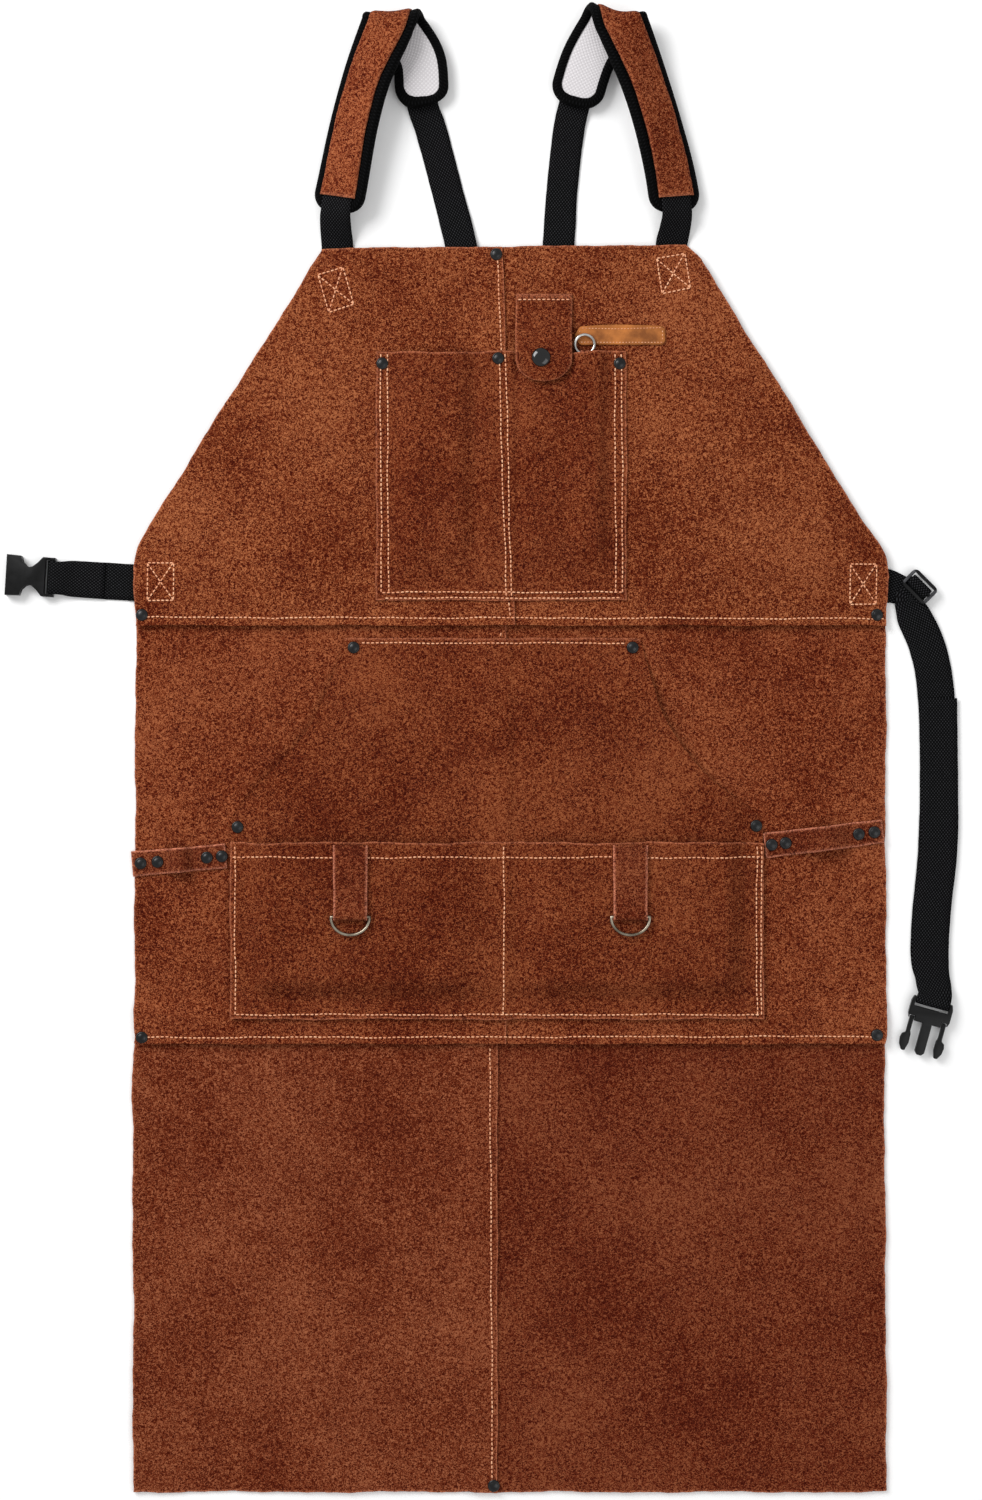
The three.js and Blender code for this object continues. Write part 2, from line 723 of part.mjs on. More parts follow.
// A flat strip through the frames, from height inner to height outer along their normals.
function ribbon(frames, inner, outer, halfAt = (frame) => frame.half.length()) {
  return gridBox(2, frames.length - 1, (u, v, w) => {
    const frame = frames[Math.round(v * (frames.length - 1))];
    const height = THREE.MathUtils.lerp(inner, outer, w);
    return onFrame(frame, (2 * u - 1) * halfAt(frame), height).toArray();
  });
}

// The frame at distance s, on the straight line between its two neighbours.
function frameAt(frames, s) {
  const last = frames.length - 2;
  let i = 0;
  while (i < last && frames[i + 1].s < s) i++;
  const k = (s - frames[i].s) / (frames[i + 1].s - frames[i].s);
  return {
    s,
    point: frames[i].point.clone().lerp(frames[i + 1].point, k),
    half: frames[i].half.clone().lerp(frames[i + 1].half, k),
    normal: frames[i].normal.clone().lerp(frames[i + 1].normal, k),
  };
}

// ---- Shoulder straps ----
// The direction across a strap, turned from +x and with its far end lifted.
function angled(degrees, lift = 0) {
  const turn = THREE.MathUtils.degToRad(degrees);
  const rise = THREE.MathUtils.degToRad(lift);
  return [Math.cos(turn) * Math.cos(rise), Math.sin(turn) * Math.cos(rise), Math.sin(rise)];
}

// Front leg, fold over the top, back leg, then under the bib to the far waist corner.
const FOLD_HALF = (FOLD_TOP_Z - FOLD_BOTTOM_Z) / 2;
const FOLD_MIDDLE = (FOLD_TOP_Z + FOLD_BOTTOM_Z) / 2;
const FOLD_STEPS = 12;

// Half a circle on edge that moves sideways by dx while its width turns from head past crease to tail.
function foldPoints(x, y, dx, { head, crease, tail, lift }) {
  return Array.from({ length: FOLD_STEPS + 1 }, (_, i) => {
    const k = i / FOLD_STEPS;
    const radians = Math.PI * (k - 0.5);
    const lean = THREE.MathUtils.lerp(
      THREE.MathUtils.lerp(head, crease, k),
      THREE.MathUtils.lerp(crease, tail, k),
      k,
    );
    return [
      x + dx * k,
      y + FOLD_HALF * Math.cos(radians),
      FOLD_MIDDLE - FOLD_HALF * Math.sin(radians),
      ...angled(lean, lift * Math.max(0, 1 - 2 * k)),
    ];
  });
}

const overBib = (distance) => BIB_TOP + distance; // heights counted from the bib's upper edge

// A point under the bib, from the straps' crossing (k = 0) to a waist corner (k = 1).
function underBib(side, k) {
  return [
    side * THREE.MathUtils.lerp(30, HALF_WIDTH - 11, k),
    THREE.MathUtils.lerp(overBib(-110), WAIST_CORNER - 12, k),
  ];
}

const SHOULDER_ROUTES = {
  left: [
    [-139, overBib(-49), LOWER_STRAP_Z, ...angled(0)],
    [-138, overBib(1), LOWER_STRAP_Z, ...angled(0)],
    [-139, overBib(14), FRONT_Z / 2, ...angled(0, 8)],
    [-139, overBib(26), FRONT_Z, ...angled(0, 16)],
    [-134, overBib(55), FRONT_Z + 2, ...angled(-8, 22)],
    [-125.5, overBib(99), FRONT_Z + 3.8, ...angled(-14, 28)],
    [-114.5, overBib(137), FRONT_Z + 6.6, ...angled(-22, 26)],
    ...foldPoints(-98, overBib(173.5), 10, { head: -28, crease: 19, tail: 18, lift: 8 }),
    [-73, overBib(149), BACK_Z + 0.8, ...angled(16)],
    [-69.5, overBib(112.5), BACK_Z, ...angled(6)],
    [-64, overBib(97), LOWER_STRAP_Z + 0.5, ...angled(10)],
    [-50, overBib(45), LOWER_STRAP_Z, ...angled(14)],
    [-39, overBib(1), UPPER_STRAP_Z, ...angled(12)],
    [-32, overBib(-40), UPPER_STRAP_Z, ...angled(16)],
    [-12, overBib(-80), UPPER_STRAP_Z, ...angled(42)],
    [...underBib(1, 0), UPPER_STRAP_Z, ...angled(56)],
    [...underBib(1, 0.5), UPPER_STRAP_Z, ...angled(58)],
    [...underBib(1, 1), UPPER_STRAP_Z, ...angled(58)],
  ],
  right: [
    [131, overBib(-49), LOWER_STRAP_Z, ...angled(0)],
    [129, overBib(1), LOWER_STRAP_Z, ...angled(0)],
    [131.5, overBib(14), FRONT_Z / 2, ...angled(0, -8)],
    [133, overBib(26), FRONT_Z, ...angled(4, -16)],
    [129.5, overBib(55), FRONT_Z + 2, ...angled(11, -22)],
    [119.5, overBib(97), FRONT_Z + 3.8, ...angled(16, -28)],
    [107, overBib(135), FRONT_Z + 6.6, ...angled(22, -26)],
    ...foldPoints(90, overBib(174), -14, { head: 28, crease: -42, tail: -22, lift: -10 }),
    [62, overBib(149), BACK_Z + 0.8, ...angled(-20)],
    [51, overBib(112.5), BACK_Z, ...angled(-10)],
    [47.5, overBib(97), LOWER_STRAP_Z + 0.5, ...angled(-6)],
    [41.5, overBib(45), LOWER_STRAP_Z, ...angled(-4)],
    [38.5, overBib(1), LOWER_STRAP_Z, ...angled(-8)],
    [32, overBib(-40), LOWER_STRAP_Z, ...angled(-16)],
    [12, overBib(-80), LOWER_STRAP_Z, ...angled(-42)],
    [...underBib(-1, 0), LOWER_STRAP_Z, ...angled(-56)],
    [...underBib(-1, 0.46), LOWER_STRAP_Z, ...angled(-58)],
    [...underBib(-1, 0.74), UPPER_STRAP_Z, ...angled(-58)],
    [...underBib(-1, 1), UPPER_STRAP_Z, ...angled(-58)],
  ],
};
const PAD_FIRST = 3; // route points where a pad starts and ends
const PAD_LAST = 9 + FOLD_STEPS;
const WEB_UNDER = -WEBBING / 2;
const LAYER_GAP = 0.45; // between the webbing and what lies on either side of it in a pad
const FOAM_TOP = WEB_UNDER - LAYER_GAP;
const FOAM_UNDER = FOAM_TOP - FOAM_THICKNESS;
const LINING_TOP = FOAM_UNDER - GAP;
const LINING_UNDER = LINING_TOP - LINING_THICKNESS;
const STRIP_UNDER = WEBBING / 2 + LAYER_GAP;

// Outline of a pad inset from its edge, as [distance, half width] from front to back.
function padOutline(frames, inset) {
  const length = frames[frames.length - 1].s;
  const radius = PAD_CORNER - inset;
  const centre = PAD_HALF - PAD_CORNER;
  const corner = [0, 22.5, 45, 67.5, 90].map((degrees) => {
    const angle = THREE.MathUtils.degToRad(degrees);
    return [PAD_CORNER - radius * Math.cos(angle), centre + radius * Math.sin(angle)];
  });
  const straight = frames
    .filter(({ s }) => s > PAD_CORNER + 1 && s < length - PAD_CORNER - 1)
    .map(({ s }) => [s, PAD_HALF - inset]);
  const farCorner = corner.map(([s, half]) => [length - s, half]).reverse();
  return [...corner, ...straight, ...farCorner];
}

function padLayer(frames, inset, inner, outer) {
  const stations = padOutline(frames, inset).map(([s, half]) => ({ ...frameAt(frames, s), width: half }));
  return ribbon(stations, inner, outer, (station) => station.width);
}

// The binding runs once round the pad: a closed band with four corners in its section.
function padBinding(frames) {
  const outer = padOutline(frames, 0);
  const inner = padOutline(frames, BINDING_WIDTH);
  const stations = outer.map((entry, i) => ({ outer: entry, inner: inner[i], side: 1 }));
  const back = stations.map((station) => ({ ...station, side: -1 })).reverse();
  const loop = [...stations, ...back];
  const band = new THREE.TorusGeometry(2, 1, 4, loop.length);
  const position = band.getAttribute("position");
  for (let i = 0; i < position.count; i++) {
    const corner = Math.floor(i / (loop.length + 1)) % 4;
    const { outer: out, inner: into, side } = loop[(i % (loop.length + 1)) % loop.length];
    const [s, half] = corner === 0 || corner === 3 ? out : into;
    const height = corner < 2 ? FOAM_TOP : LINING_UNDER - 0.2;
    const point = onFrame(frameAt(frames, s), side * half, height);
    position.setXYZ(i, ...point.toArray());
  }
  return band;
}

const PAD_STEP = 7; // between cross sections along a pad
const STRAP_STEP = 24; // between cross sections of a flat strap
for (const [side, route] of Object.entries(SHOULDER_ROUTES)) {
  const isPad = (i) => i >= PAD_FIRST && i < PAD_LAST;
  const frames = framesAlong(route, SHOULDER_HALF_WIDTH, (i) => (isPad(i) ? PAD_STEP : STRAP_STEP));
  addPart(`shoulder_webbing_${side}`, ribbon(frames, WEB_UNDER, WEBBING / 2), "webbing");
  const padFrames = frames.filter(({ index }) => index >= PAD_FIRST && index <= PAD_LAST);
  const start = padFrames[0].s;
  for (const frame of padFrames) frame.s -= start;
  const length = padFrames[padFrames.length - 1].s;
  const inset = BINDING_WIDTH + BINDING_CLEARANCE;
  addPart(`pad_foam_${side}`, padLayer(padFrames, inset, FOAM_UNDER, FOAM_TOP), "foam");
  addPart(`pad_lining_${side}`, padLayer(padFrames, inset, LINING_UNDER, LINING_TOP), "lining");
  addPart(`pad_binding_${side}`, padBinding(padFrames), "binding");
  const strip = padFrames.filter(({ s }) => s > STRIP_START + 2 && s < length - STRIP_END - 3);
  const stripFrames = [
    frameAt(padFrames, STRIP_START),
    ...strip,
    frameAt(padFrames, length - STRIP_END),
  ];
  addPart(
    `pad_leather_${side}`,
    ribbon(stripFrames, STRIP_UNDER, STRIP_UNDER + LEATHER, () => PAD_STRIP_HALF),
    "suede",
  );
}

// ---- Female buckle and left waist strap ----
const FEMALE = {
  x: -HALF_WIDTH - 65.2, y: WAIST_CORNER - 8.6, turn: 3.5, bar: 1.8, length: 38.4, thickness: 9,
};
const FEMALE_BAR_Z = 4.4;

// Turns [along, across, z] of a buckle into world x, y, z.
function placed(origin, degrees, along, across, z) {
  const angle = THREE.MathUtils.degToRad(degrees);
  const x = origin[0] + along * Math.cos(angle) - across * Math.sin(angle);
  const y = origin[1] + along * Math.sin(angle) + across * Math.cos(angle);
  return [x, y, z];
}

function extruded(outline, bottom, top) {
  const shape = new THREE.Shape(outline.map(([x, y]) => new THREE.Vector2(x, y)));
  const geometry = new THREE.ExtrudeGeometry(shape, { depth: top - bottom, bevelEnabled: false });
  geometry.translate(0, 0, bottom);
  return geometry;
}

function block(x0, x1, y0, y1, z0, z1) {
  const box = new THREE.BoxGeometry(x1 - x0, y1 - y0, z1 - z0);
  box.translate((x0 + x1) / 2, (y0 + y1) / 2, (z0 + z1) / 2);
  return box;
}

function barAlongY(radius, half, z) {
  const bar = new THREE.CylinderGeometry(radius, radius, 2 * half, 12);
  bar.translate(0, 0, z);
  return bar;
}

const RAIL_INNER = 13.8;
const RAIL_OUTER = 15.6;
const MOUTH_HALF = 16.3;
const NECK_HALF = 7;

// Local +x points from the mouth to the strap; the bar lies on x = 0.
function femaleBuckle() {
  const mouth = 2.5 - FEMALE.length;
  const upper = [
    [2.4, RAIL_OUTER],
    [-7, RAIL_OUTER],
    [-11, 11],
    [-15, NECK_HALF + 0.7],
    [-17.5, NECK_HALF],
    [-20, NECK_HALF + 1],
    [-23, 11],
    [-24.5, MOUTH_HALF - 0.6],
    [mouth, MOUTH_HALF],
  ];
  const lower = upper.map(([x, y]) => [x, -y]).reverse();
  const low = GAP;
  const high = GAP + FEMALE.thickness;
  const body = extruded([...upper, ...lower].reverse(), low, high);
  const socket = block(mouth - 1, -10, -13.4, 13.4, low + 1.9, high - 1.9);
  const slot = block(-5, 4, -RAIL_INNER, RAIL_INNER, low - 1, high + 1);
  const overRails = block(-3.2, 4, -20, 20, low + 6.6, high + 1);
  const bar = barAlongY(FEMALE.bar, RAIL_INNER + 0.8, FEMALE_BAR_Z);
  const buckle = join([cut(body, [socket, slot, overRails]), bar]);
  buckle.rotateZ(THREE.MathUtils.degToRad(-FEMALE.turn));
  buckle.translate(FEMALE.x, FEMALE.y, 0);
  return buckle;
}

addPart("female_buckle", femaleBuckle(), "plastic");

const acrossLeft = (half) => {
  const angle = THREE.MathUtils.degToRad(-FEMALE.turn);
  return [Math.sin(angle) * half, -Math.cos(angle) * half];
};

function leftRoutePoint(along, z, half) {
  return [...placed([FEMALE.x, FEMALE.y], -FEMALE.turn, along, 0, z), ...acrossLeft(half)];
}

const LOOP_RADIUS = 2.9; // from a buckle's bar to the middle of the strap round it
const loopPoint = (degrees) => {
  const angle = THREE.MathUtils.degToRad(degrees);
  return [LOOP_RADIUS * Math.cos(angle), FEMALE_BAR_Z + LOOP_RADIUS * Math.sin(angle)];
};
const leftLoop = [-90, -130, -180, -230, -270].map((degrees) => {
  const [along, z] = loopPoint(degrees);
  return leftRoutePoint(along, z, BUCKLE_STRAP_HALF);
});
const leftRoute = [
  leftRoutePoint(101, LOWER_STRAP_Z, WAIST_HALF_WIDTH),
  leftRoutePoint(66, LOWER_STRAP_Z, WAIST_HALF_WIDTH),
  leftRoutePoint(30, LOWER_STRAP_Z, WAIST_HALF_WIDTH),
  leftRoutePoint(8, LOWER_STRAP_Z + 0.1, BUCKLE_STRAP_HALF),
  ...leftLoop,
  leftRoutePoint(7, FEMALE_BAR_Z + 2, BUCKLE_STRAP_HALF),
  leftRoutePoint(16, UPPER_STRAP_Z + 1, WAIST_HALF_WIDTH),
  leftRoutePoint(42, UPPER_STRAP_Z, WAIST_HALF_WIDTH),
];
const leftFrames = framesAlong(leftRoute, WAIST_HALF_WIDTH, () => 18);
addPart("waist_strap_left", ribbon(leftFrames, -WEBBING / 2, WEBBING / 2), "webbing");

// ---- Slider ----
const SLIDER = {
  x: HALF_WIDTH + 26, y: WAIST_CORNER - 16, turn: -45, half: 13, depth: 8.6, low: 3.6, high: 6.6,
};
const SLIDER_BAR = 1.4; // half depth of the middle bar
const SLIDER_SLOT = 6.1; // outer edge of a slot
const SLIDER_SLOT_HALF = 10.4;

function roundedOutline(halfX, halfY, radius) {
  const shape = new THREE.Shape();
  shape.moveTo(-halfX + radius, -halfY);
  shape.absarc(halfX - radius, -halfY + radius, radius, -Math.PI / 2, 0);
  shape.absarc(halfX - radius, halfY - radius, radius, 0, Math.PI / 2);
  shape.absarc(-halfX + radius, halfY - radius, radius, Math.PI / 2, Math.PI);
  shape.absarc(-halfX + radius, -halfY + radius, radius, Math.PI, 1.5 * Math.PI);
  return shape.getPoints(4).map(({ x, y }) => [x, y]);
}

function slider() {
  const frame = extruded(roundedOutline(SLIDER.half, SLIDER.depth, 4), SLIDER.low, SLIDER.high);
  const slots = [1, -1].map((side) => {
    const edges = [side * SLIDER_BAR, side * SLIDER_SLOT].sort((a, b) => a - b);
    return block(-SLIDER_SLOT_HALF, SLIDER_SLOT_HALF, ...edges, SLIDER.low - 1, SLIDER.high + 1);
  });
  const made = cut(frame, slots);
  made.rotateZ(THREE.MathUtils.degToRad(SLIDER.turn));
  made.translate(SLIDER.x, SLIDER.y, 0);
  return made;
}

addPart("strap_slider", slider(), "plastic");

// ---- Male buckle and right waist strap ----
const MALE = { x: HALF_WIDTH + 36.6, y: WAIST_CORNER - 348.4, turn: -15.5, low: 1.9, high: 6.9 };
const MALE_BAR_Z = 4.4;
const MALE_HALF = 17;
const PRONG_ROOT = -17.5;
const PRONG_TIP = -42.5;
const PRONG_X = 13.2;
const GUIDE_HALF = 3.8;

// Local +y points to the strap; the bar lies on y = 0.
function maleBuckle() {
  const outline = [
    [-MALE_HALF + 1.4, 2.4],
    [-MALE_HALF, -2],
    [-MALE_HALF, -12],
    [-MALE_HALF + 2, PRONG_ROOT],
    [-GUIDE_HALF, PRONG_ROOT],
    [-GUIDE_HALF, PRONG_TIP + 2],
    [-GUIDE_HALF + 2, PRONG_TIP - 0.5],
    [GUIDE_HALF - 2, PRONG_TIP - 0.5],
    [GUIDE_HALF, PRONG_TIP + 2],
    [GUIDE_HALF, PRONG_ROOT],
    [MALE_HALF - 2, PRONG_ROOT],
    [MALE_HALF, -12],
    [MALE_HALF, -2],
    [MALE_HALF - 1.4, 2.4],
  ];
  const body = extruded(outline, MALE.low, MALE.high);
  const slot = block(-14, 14, -5.4, 4, MALE.low - 1, MALE.high + 1);
  const prongSeats = [1, -1].map((side) => {
    const across = [side * PRONG_X - 2.4, side * PRONG_X + 2.4];
    return block(...across, PRONG_ROOT - 1, PRONG_ROOT + 4.2, MALE.low - 1, MALE.high + 1);
  });
  const bar = new THREE.CylinderGeometry(1.9, 1.9, 29.6, 12);
  bar.rotateZ(Math.PI / 2);
  bar.translate(0, 0, MALE_BAR_Z);
  return join([cut(body, [slot, ...prongSeats]), bar]);
}

// A springy arm with a rounded arrow head, hinged at its root.
function prong(side) {
  const root = PRONG_ROOT + 3.8;
  const outline = [
    [-1.7, root],
    [-1.7, -26],
    [-2.6, -28.5],
    [-2.8, -36],
    [-1, PRONG_TIP],
    [1.6, PRONG_TIP],
    [4.2, -38],
    [5, -33],
    [4.2, -29.5],
    [1.7, -28],
    [1.7, root],
  ].map(([x, y]) => [side * (PRONG_X + x), y]);
  return extruded(side > 0 ? outline : outline.reverse(), MALE.low + 0.5, MALE.high - 0.5);
}

function placeMale(geometry) {
  geometry.rotateZ(THREE.MathUtils.degToRad(MALE.turn));
  geometry.translate(MALE.x, MALE.y, 0);
  return geometry;
}

addPart("male_buckle", placeMale(maleBuckle()), "plastic");
addPart("buckle_prong_left", placeMale(prong(-1)), "plastic");
addPart("buckle_prong_right", placeMale(prong(1)), "plastic");

// A route point near the slider: along its slot direction, with the strap squeezed between its ends.
function sliderPoint(along, z) {
  const angle = THREE.MathUtils.degToRad(SLIDER.turn);
  return [
    ...placed([SLIDER.x, SLIDER.y], SLIDER.turn, 0, along, z),
    -Math.cos(angle) * SLIDER_STRAP_HALF,
    -Math.sin(angle) * SLIDER_STRAP_HALF,
  ];
}

function malePoint(along, z) {
  const angle = THREE.MathUtils.degToRad(MALE.turn);
  return [
    ...placed([MALE.x, MALE.y], MALE.turn, 0, along, z),
    -Math.cos(angle) * BUCKLE_STRAP_HALF,
    -Math.sin(angle) * BUCKLE_STRAP_HALF,
  ];
}

const maleLoop = [-90, -130, -180, -230, -270].map((degrees) => {
  const angle = THREE.MathUtils.degToRad(degrees);
  return malePoint(LOOP_RADIUS * Math.cos(angle), MALE_BAR_Z + LOOP_RADIUS * Math.sin(angle));
});
// A point beside the right side edge, counted from the waist corner, with the strap's half width.
const beside = (dx, dy, z, hx, hy) => [HALF_WIDTH + dx, WAIST_CORNER + dy, z, hx, hy];
const rightRoute = [
  beside(-35, -14, LOWER_STRAP_Z, 0, WAIST_HALF_WIDTH),
  beside(-1, -15, LOWER_STRAP_Z, 0, WAIST_HALF_WIDTH - 1),
  beside(12, -18.5, LOWER_STRAP_Z, -3, 11),
  sliderPoint(-7, LOWER_STRAP_Z),
  sliderPoint(0, LOWER_STRAP_Z + 0.2),
  sliderPoint(3.6, 2.8),
  sliderPoint(4, 5),
  sliderPoint(3, 7.2),
  sliderPoint(0, 8.2),
  sliderPoint(-3, 7.2),
  sliderPoint(-4, 5),
  sliderPoint(-5, 3.1),
  sliderPoint(-8, UPPER_STRAP_Z + 0.1),
  sliderPoint(-14, UPPER_STRAP_Z),
  beside(21, -38, UPPER_STRAP_Z, -13, 4),
  beside(32, -62, LOWER_STRAP_Z + 0.4, -WAIST_HALF_WIDTH, 1),
  beside(39, -95, LOWER_STRAP_Z, -WAIST_HALF_WIDTH, 0),
  beside(40, -225, LOWER_STRAP_Z, -WAIST_HALF_WIDTH, 0),
  beside(36, -279, LOWER_STRAP_Z, -WAIST_HALF_WIDTH, 0),
  beside(35, -315, LOWER_STRAP_Z, -WAIST_HALF_WIDTH, 1),
  malePoint(9, LOWER_STRAP_Z + 0.1),
  ...maleLoop,
  malePoint(7, MALE_BAR_Z + 2),
  malePoint(16, UPPER_STRAP_Z + 1.4),
  beside(36, -312, UPPER_STRAP_Z + 0.3, -WAIST_HALF_WIDTH, 1),
  beside(38, -279, UPPER_STRAP_Z, -WAIST_HALF_WIDTH, 0),
  beside(42, -225, UPPER_STRAP_Z, -WAIST_HALF_WIDTH, 0),
  beside(42, -105, UPPER_STRAP_Z, -WAIST_HALF_WIDTH, 0),
];
const rightFrames = framesAlong(rightRoute, WAIST_HALF_WIDTH, () => 18);
addPart("waist_strap_right", ribbon(rightFrames, -WEBBING / 2, WEBBING / 2), "webbing");

// ---- Chest ring in its keeper ----
// Strip in the plane x = middle through [y, z] points.
function foldedStrip(points, middle, halfWidth, thickness) {
  const frames = points.map(([y, z]) => ({
    point: new THREE.Vector3(middle, y, z),
    half: new THREE.Vector3(halfWidth, 0, 0),
  }));
  frames.forEach((frame, i) => {
    const before = frames[Math.max(0, i - 1)].point;
    const after = frames[Math.min(frames.length - 1, i + 1)].point;
    frame.normal = new THREE.Vector3(1, 0, 0).cross(after.clone().sub(before)).normalize();
  });
  return ribbon(frames, -thickness / 2, thickness / 2);
}

function arcPoints(y, z, radius, from, to, steps) {
  return Array.from({ length: steps + 1 }, (_, i) => {
    const angle = THREE.MathUtils.degToRad(THREE.MathUtils.lerp(from, to, i / steps));
    return [y + radius * Math.cos(angle), z + radius * Math.sin(angle)];
  });
}

const chestWireY = CHEST_RING_Y - CHEST_RING_RADIUS;
const keeperRadius = CHEST_WIRE_RADIUS + 0.9 + KEEPER_LEATHER / 2;
const keeperZ = 3 * PLY + GAP + KEEPER_LEATHER / 2;
const chestRingZ = keeperZ + keeperRadius;
addPart(
  "ring_keeper",
  foldedStrip(
    [
      [chestWireY - KEEPER_LENGTH, keeperZ],
      [chestWireY - 3, keeperZ],
      ...arcPoints(chestWireY, chestRingZ, keeperRadius, -90, 90, 6),
      [chestWireY - 5, chestRingZ + 1.6],
      [chestWireY - 11, keeperZ + KEEPER_LEATHER + 0.6],
      [chestWireY - KEEPER_LENGTH, keeperZ + KEEPER_LEATHER + GAP],
    ],
    CHEST_RING_X,
    KEEPER_HALF,
    KEEPER_LEATHER,
  ),
  "suede",
);
const chestRing = new THREE.TorusGeometry(CHEST_RING_RADIUS, CHEST_WIRE_RADIUS, 8, 24);
chestRing.translate(CHEST_RING_X, CHEST_RING_Y, chestRingZ);
addPart("chest_ring", chestRing, "steel");

// ---- Tool rings on their tabs ----
class DArc extends THREE.Curve {
  getPoint(t, target = new THREE.Vector3()) {
    const angle = Math.PI * (1 + t);
    return target.set(RING_HALF * Math.cos(angle), RING_DROP * Math.sin(angle), 0);
  }
}

function wireSection(radius) {
  const circle = new THREE.EllipseCurve(0, 0, radius, radius, 0, 2 * Math.PI);
  return new THREE.Shape(circle.getPoints(8).slice(0, 8));
}

function dRing() {
  const arc = new THREE.ExtrudeGeometry(wireSection(RING_WIRE_RADIUS), {
    steps: 16,
    extrudePath: new DArc(),
  });
  const bar = new THREE.CylinderGeometry(RING_WIRE_RADIUS, RING_WIRE_RADIUS, 2 * RING_HALF + 1.2, 10);
  bar.rotateZ(Math.PI / 2);
  return join([arc, bar]);
}

const tabRadius = RING_WIRE_RADIUS + 0.4 + TAB_LEATHER / 2;
for (const [side, x] of Object.entries(RING_TABS)) {
  const face = 2 * PLY + HAND_PUFF + TOOL.puff + LEATHER;
  const backZ = face + GAP + TAB_LEATHER / 2;
  const barZ = backZ + tabRadius;
  addPart(
    `ring_tab_${side}`,
    foldedStrip(
      [
        [TAB_TOP, backZ],
        [RING_BAR_Y + 3, backZ],
        ...arcPoints(RING_BAR_Y, barZ, tabRadius, -90, -270, 6),
        [RING_BAR_Y + 6, barZ + 1.7],
        [RING_BAR_Y + 18, backZ + TAB_LEATHER + 0.6],
        [TAB_TOP, backZ + TAB_LEATHER + GAP],
      ],
      x,
      TAB_HALF,
      TAB_LEATHER,
    ),
    "suede",
  );
  const ring = dRing();
  ring.translate(x, RING_BAR_Y, barZ);
  addPart(`d_ring_${side}`, ring, "antique");
}

// The frame's origin is the middle of the bounding box, on the surface that the apron lies on.
const bounds = new THREE.Box3().setFromObject(apron);
const centre = bounds.getCenter(new THREE.Vector3());
apron.position.set(-centre.x, -centre.y, 0);

export default apron;
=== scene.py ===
"""Suede welding apron laid flat: leather panels, pockets, padded straps, hardware and stitching."""

import math

import bmesh
import bpy
import numpy as np
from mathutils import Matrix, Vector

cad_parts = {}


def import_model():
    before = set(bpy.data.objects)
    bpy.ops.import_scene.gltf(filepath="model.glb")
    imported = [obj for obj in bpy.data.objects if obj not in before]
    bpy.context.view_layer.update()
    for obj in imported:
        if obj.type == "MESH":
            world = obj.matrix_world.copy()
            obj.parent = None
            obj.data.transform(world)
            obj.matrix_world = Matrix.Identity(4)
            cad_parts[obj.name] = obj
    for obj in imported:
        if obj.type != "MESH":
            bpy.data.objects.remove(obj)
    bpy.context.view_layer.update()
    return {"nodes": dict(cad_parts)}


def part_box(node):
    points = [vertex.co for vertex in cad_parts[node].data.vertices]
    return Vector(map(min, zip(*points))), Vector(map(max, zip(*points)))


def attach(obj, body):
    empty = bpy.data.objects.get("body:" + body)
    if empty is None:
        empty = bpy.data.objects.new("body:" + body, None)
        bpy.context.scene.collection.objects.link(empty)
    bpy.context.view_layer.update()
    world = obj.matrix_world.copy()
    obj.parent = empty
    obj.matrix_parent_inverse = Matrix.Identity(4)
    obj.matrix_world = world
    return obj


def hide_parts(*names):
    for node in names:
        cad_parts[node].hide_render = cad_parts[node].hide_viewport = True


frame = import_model()

# ---- The apron's own grid: millimetres, x from the centre line, y from the hem ----
LEATHER = 1.4
GAP = 0.3
PLY = LEATHER + GAP
HALF_WIDTH = 301.0
skirt_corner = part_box("skirt_left")[0]
SHIFT = np.array([skirt_corner[0] * 1000 + HALF_WIDTH, skirt_corner[1] * 1000, 0.0])


def world(points):
    """Millimetres on the apron's own grid, turned into metres in the frame."""
    return (np.asarray(points, float) + SHIFT) / 1000


# ---- Camera ----
camera = bpy.data.objects.new("camera", bpy.data.cameras.new("camera"))
bpy.context.collection.objects.link(camera)
camera.location = world([-15.2, 593.6, 2500.0])
camera.data.lens = 75
camera.data.sensor_width = 36
bpy.context.scene.camera = camera

# ---- Light and floor ----
scene = bpy.context.scene
scene.view_settings.view_transform = "Standard"
scene.world = bpy.data.worlds.new("studio")
scene.world.use_nodes = True
scene.world.node_tree.nodes["Background"].inputs["Color"].default_value = (1, 1, 1, 1)
scene.world.node_tree.nodes["Background"].inputs["Strength"].default_value = 0.62


def lamp(name, place, size, watts):
    """A square soft light at place, aimed at the middle of the apron."""
    light = bpy.data.lights.new(name, "AREA")
    light.size = size
    light.energy = watts
    source = bpy.data.objects.new(name, light)
    bpy.context.collection.objects.link(source)
    source.location = place
    aim = -np.array(place) / np.linalg.norm(place)
    source.rotation_euler = (math.acos(-aim[2]), 0, math.atan2(aim[1], aim[0]) - math.pi / 2)
    return source


lamp("key", (-1.6, 1.5, 1.7), 1.5, 66)
lamp("fill", (1.4, -0.9, 2.2), 1.8, 18)


# ---- Node helpers ----
def node(tree, kind, settings=None, **inputs):
    """One shader node: settings are its own options, inputs are values or sockets by name or number."""
    made = tree.nodes.new(kind)
    for key, value in (settings or {}).items():
        setattr(made, key, value)
    for key, value in inputs.items():
        socket = made.inputs[int(key[1:])] if key[0] == "_" else made.inputs[key.replace("_", " ")]
        if isinstance(value, bpy.types.NodeSocket):
            tree.links.new(value, socket)
        else:
            socket.default_value = value
    return made


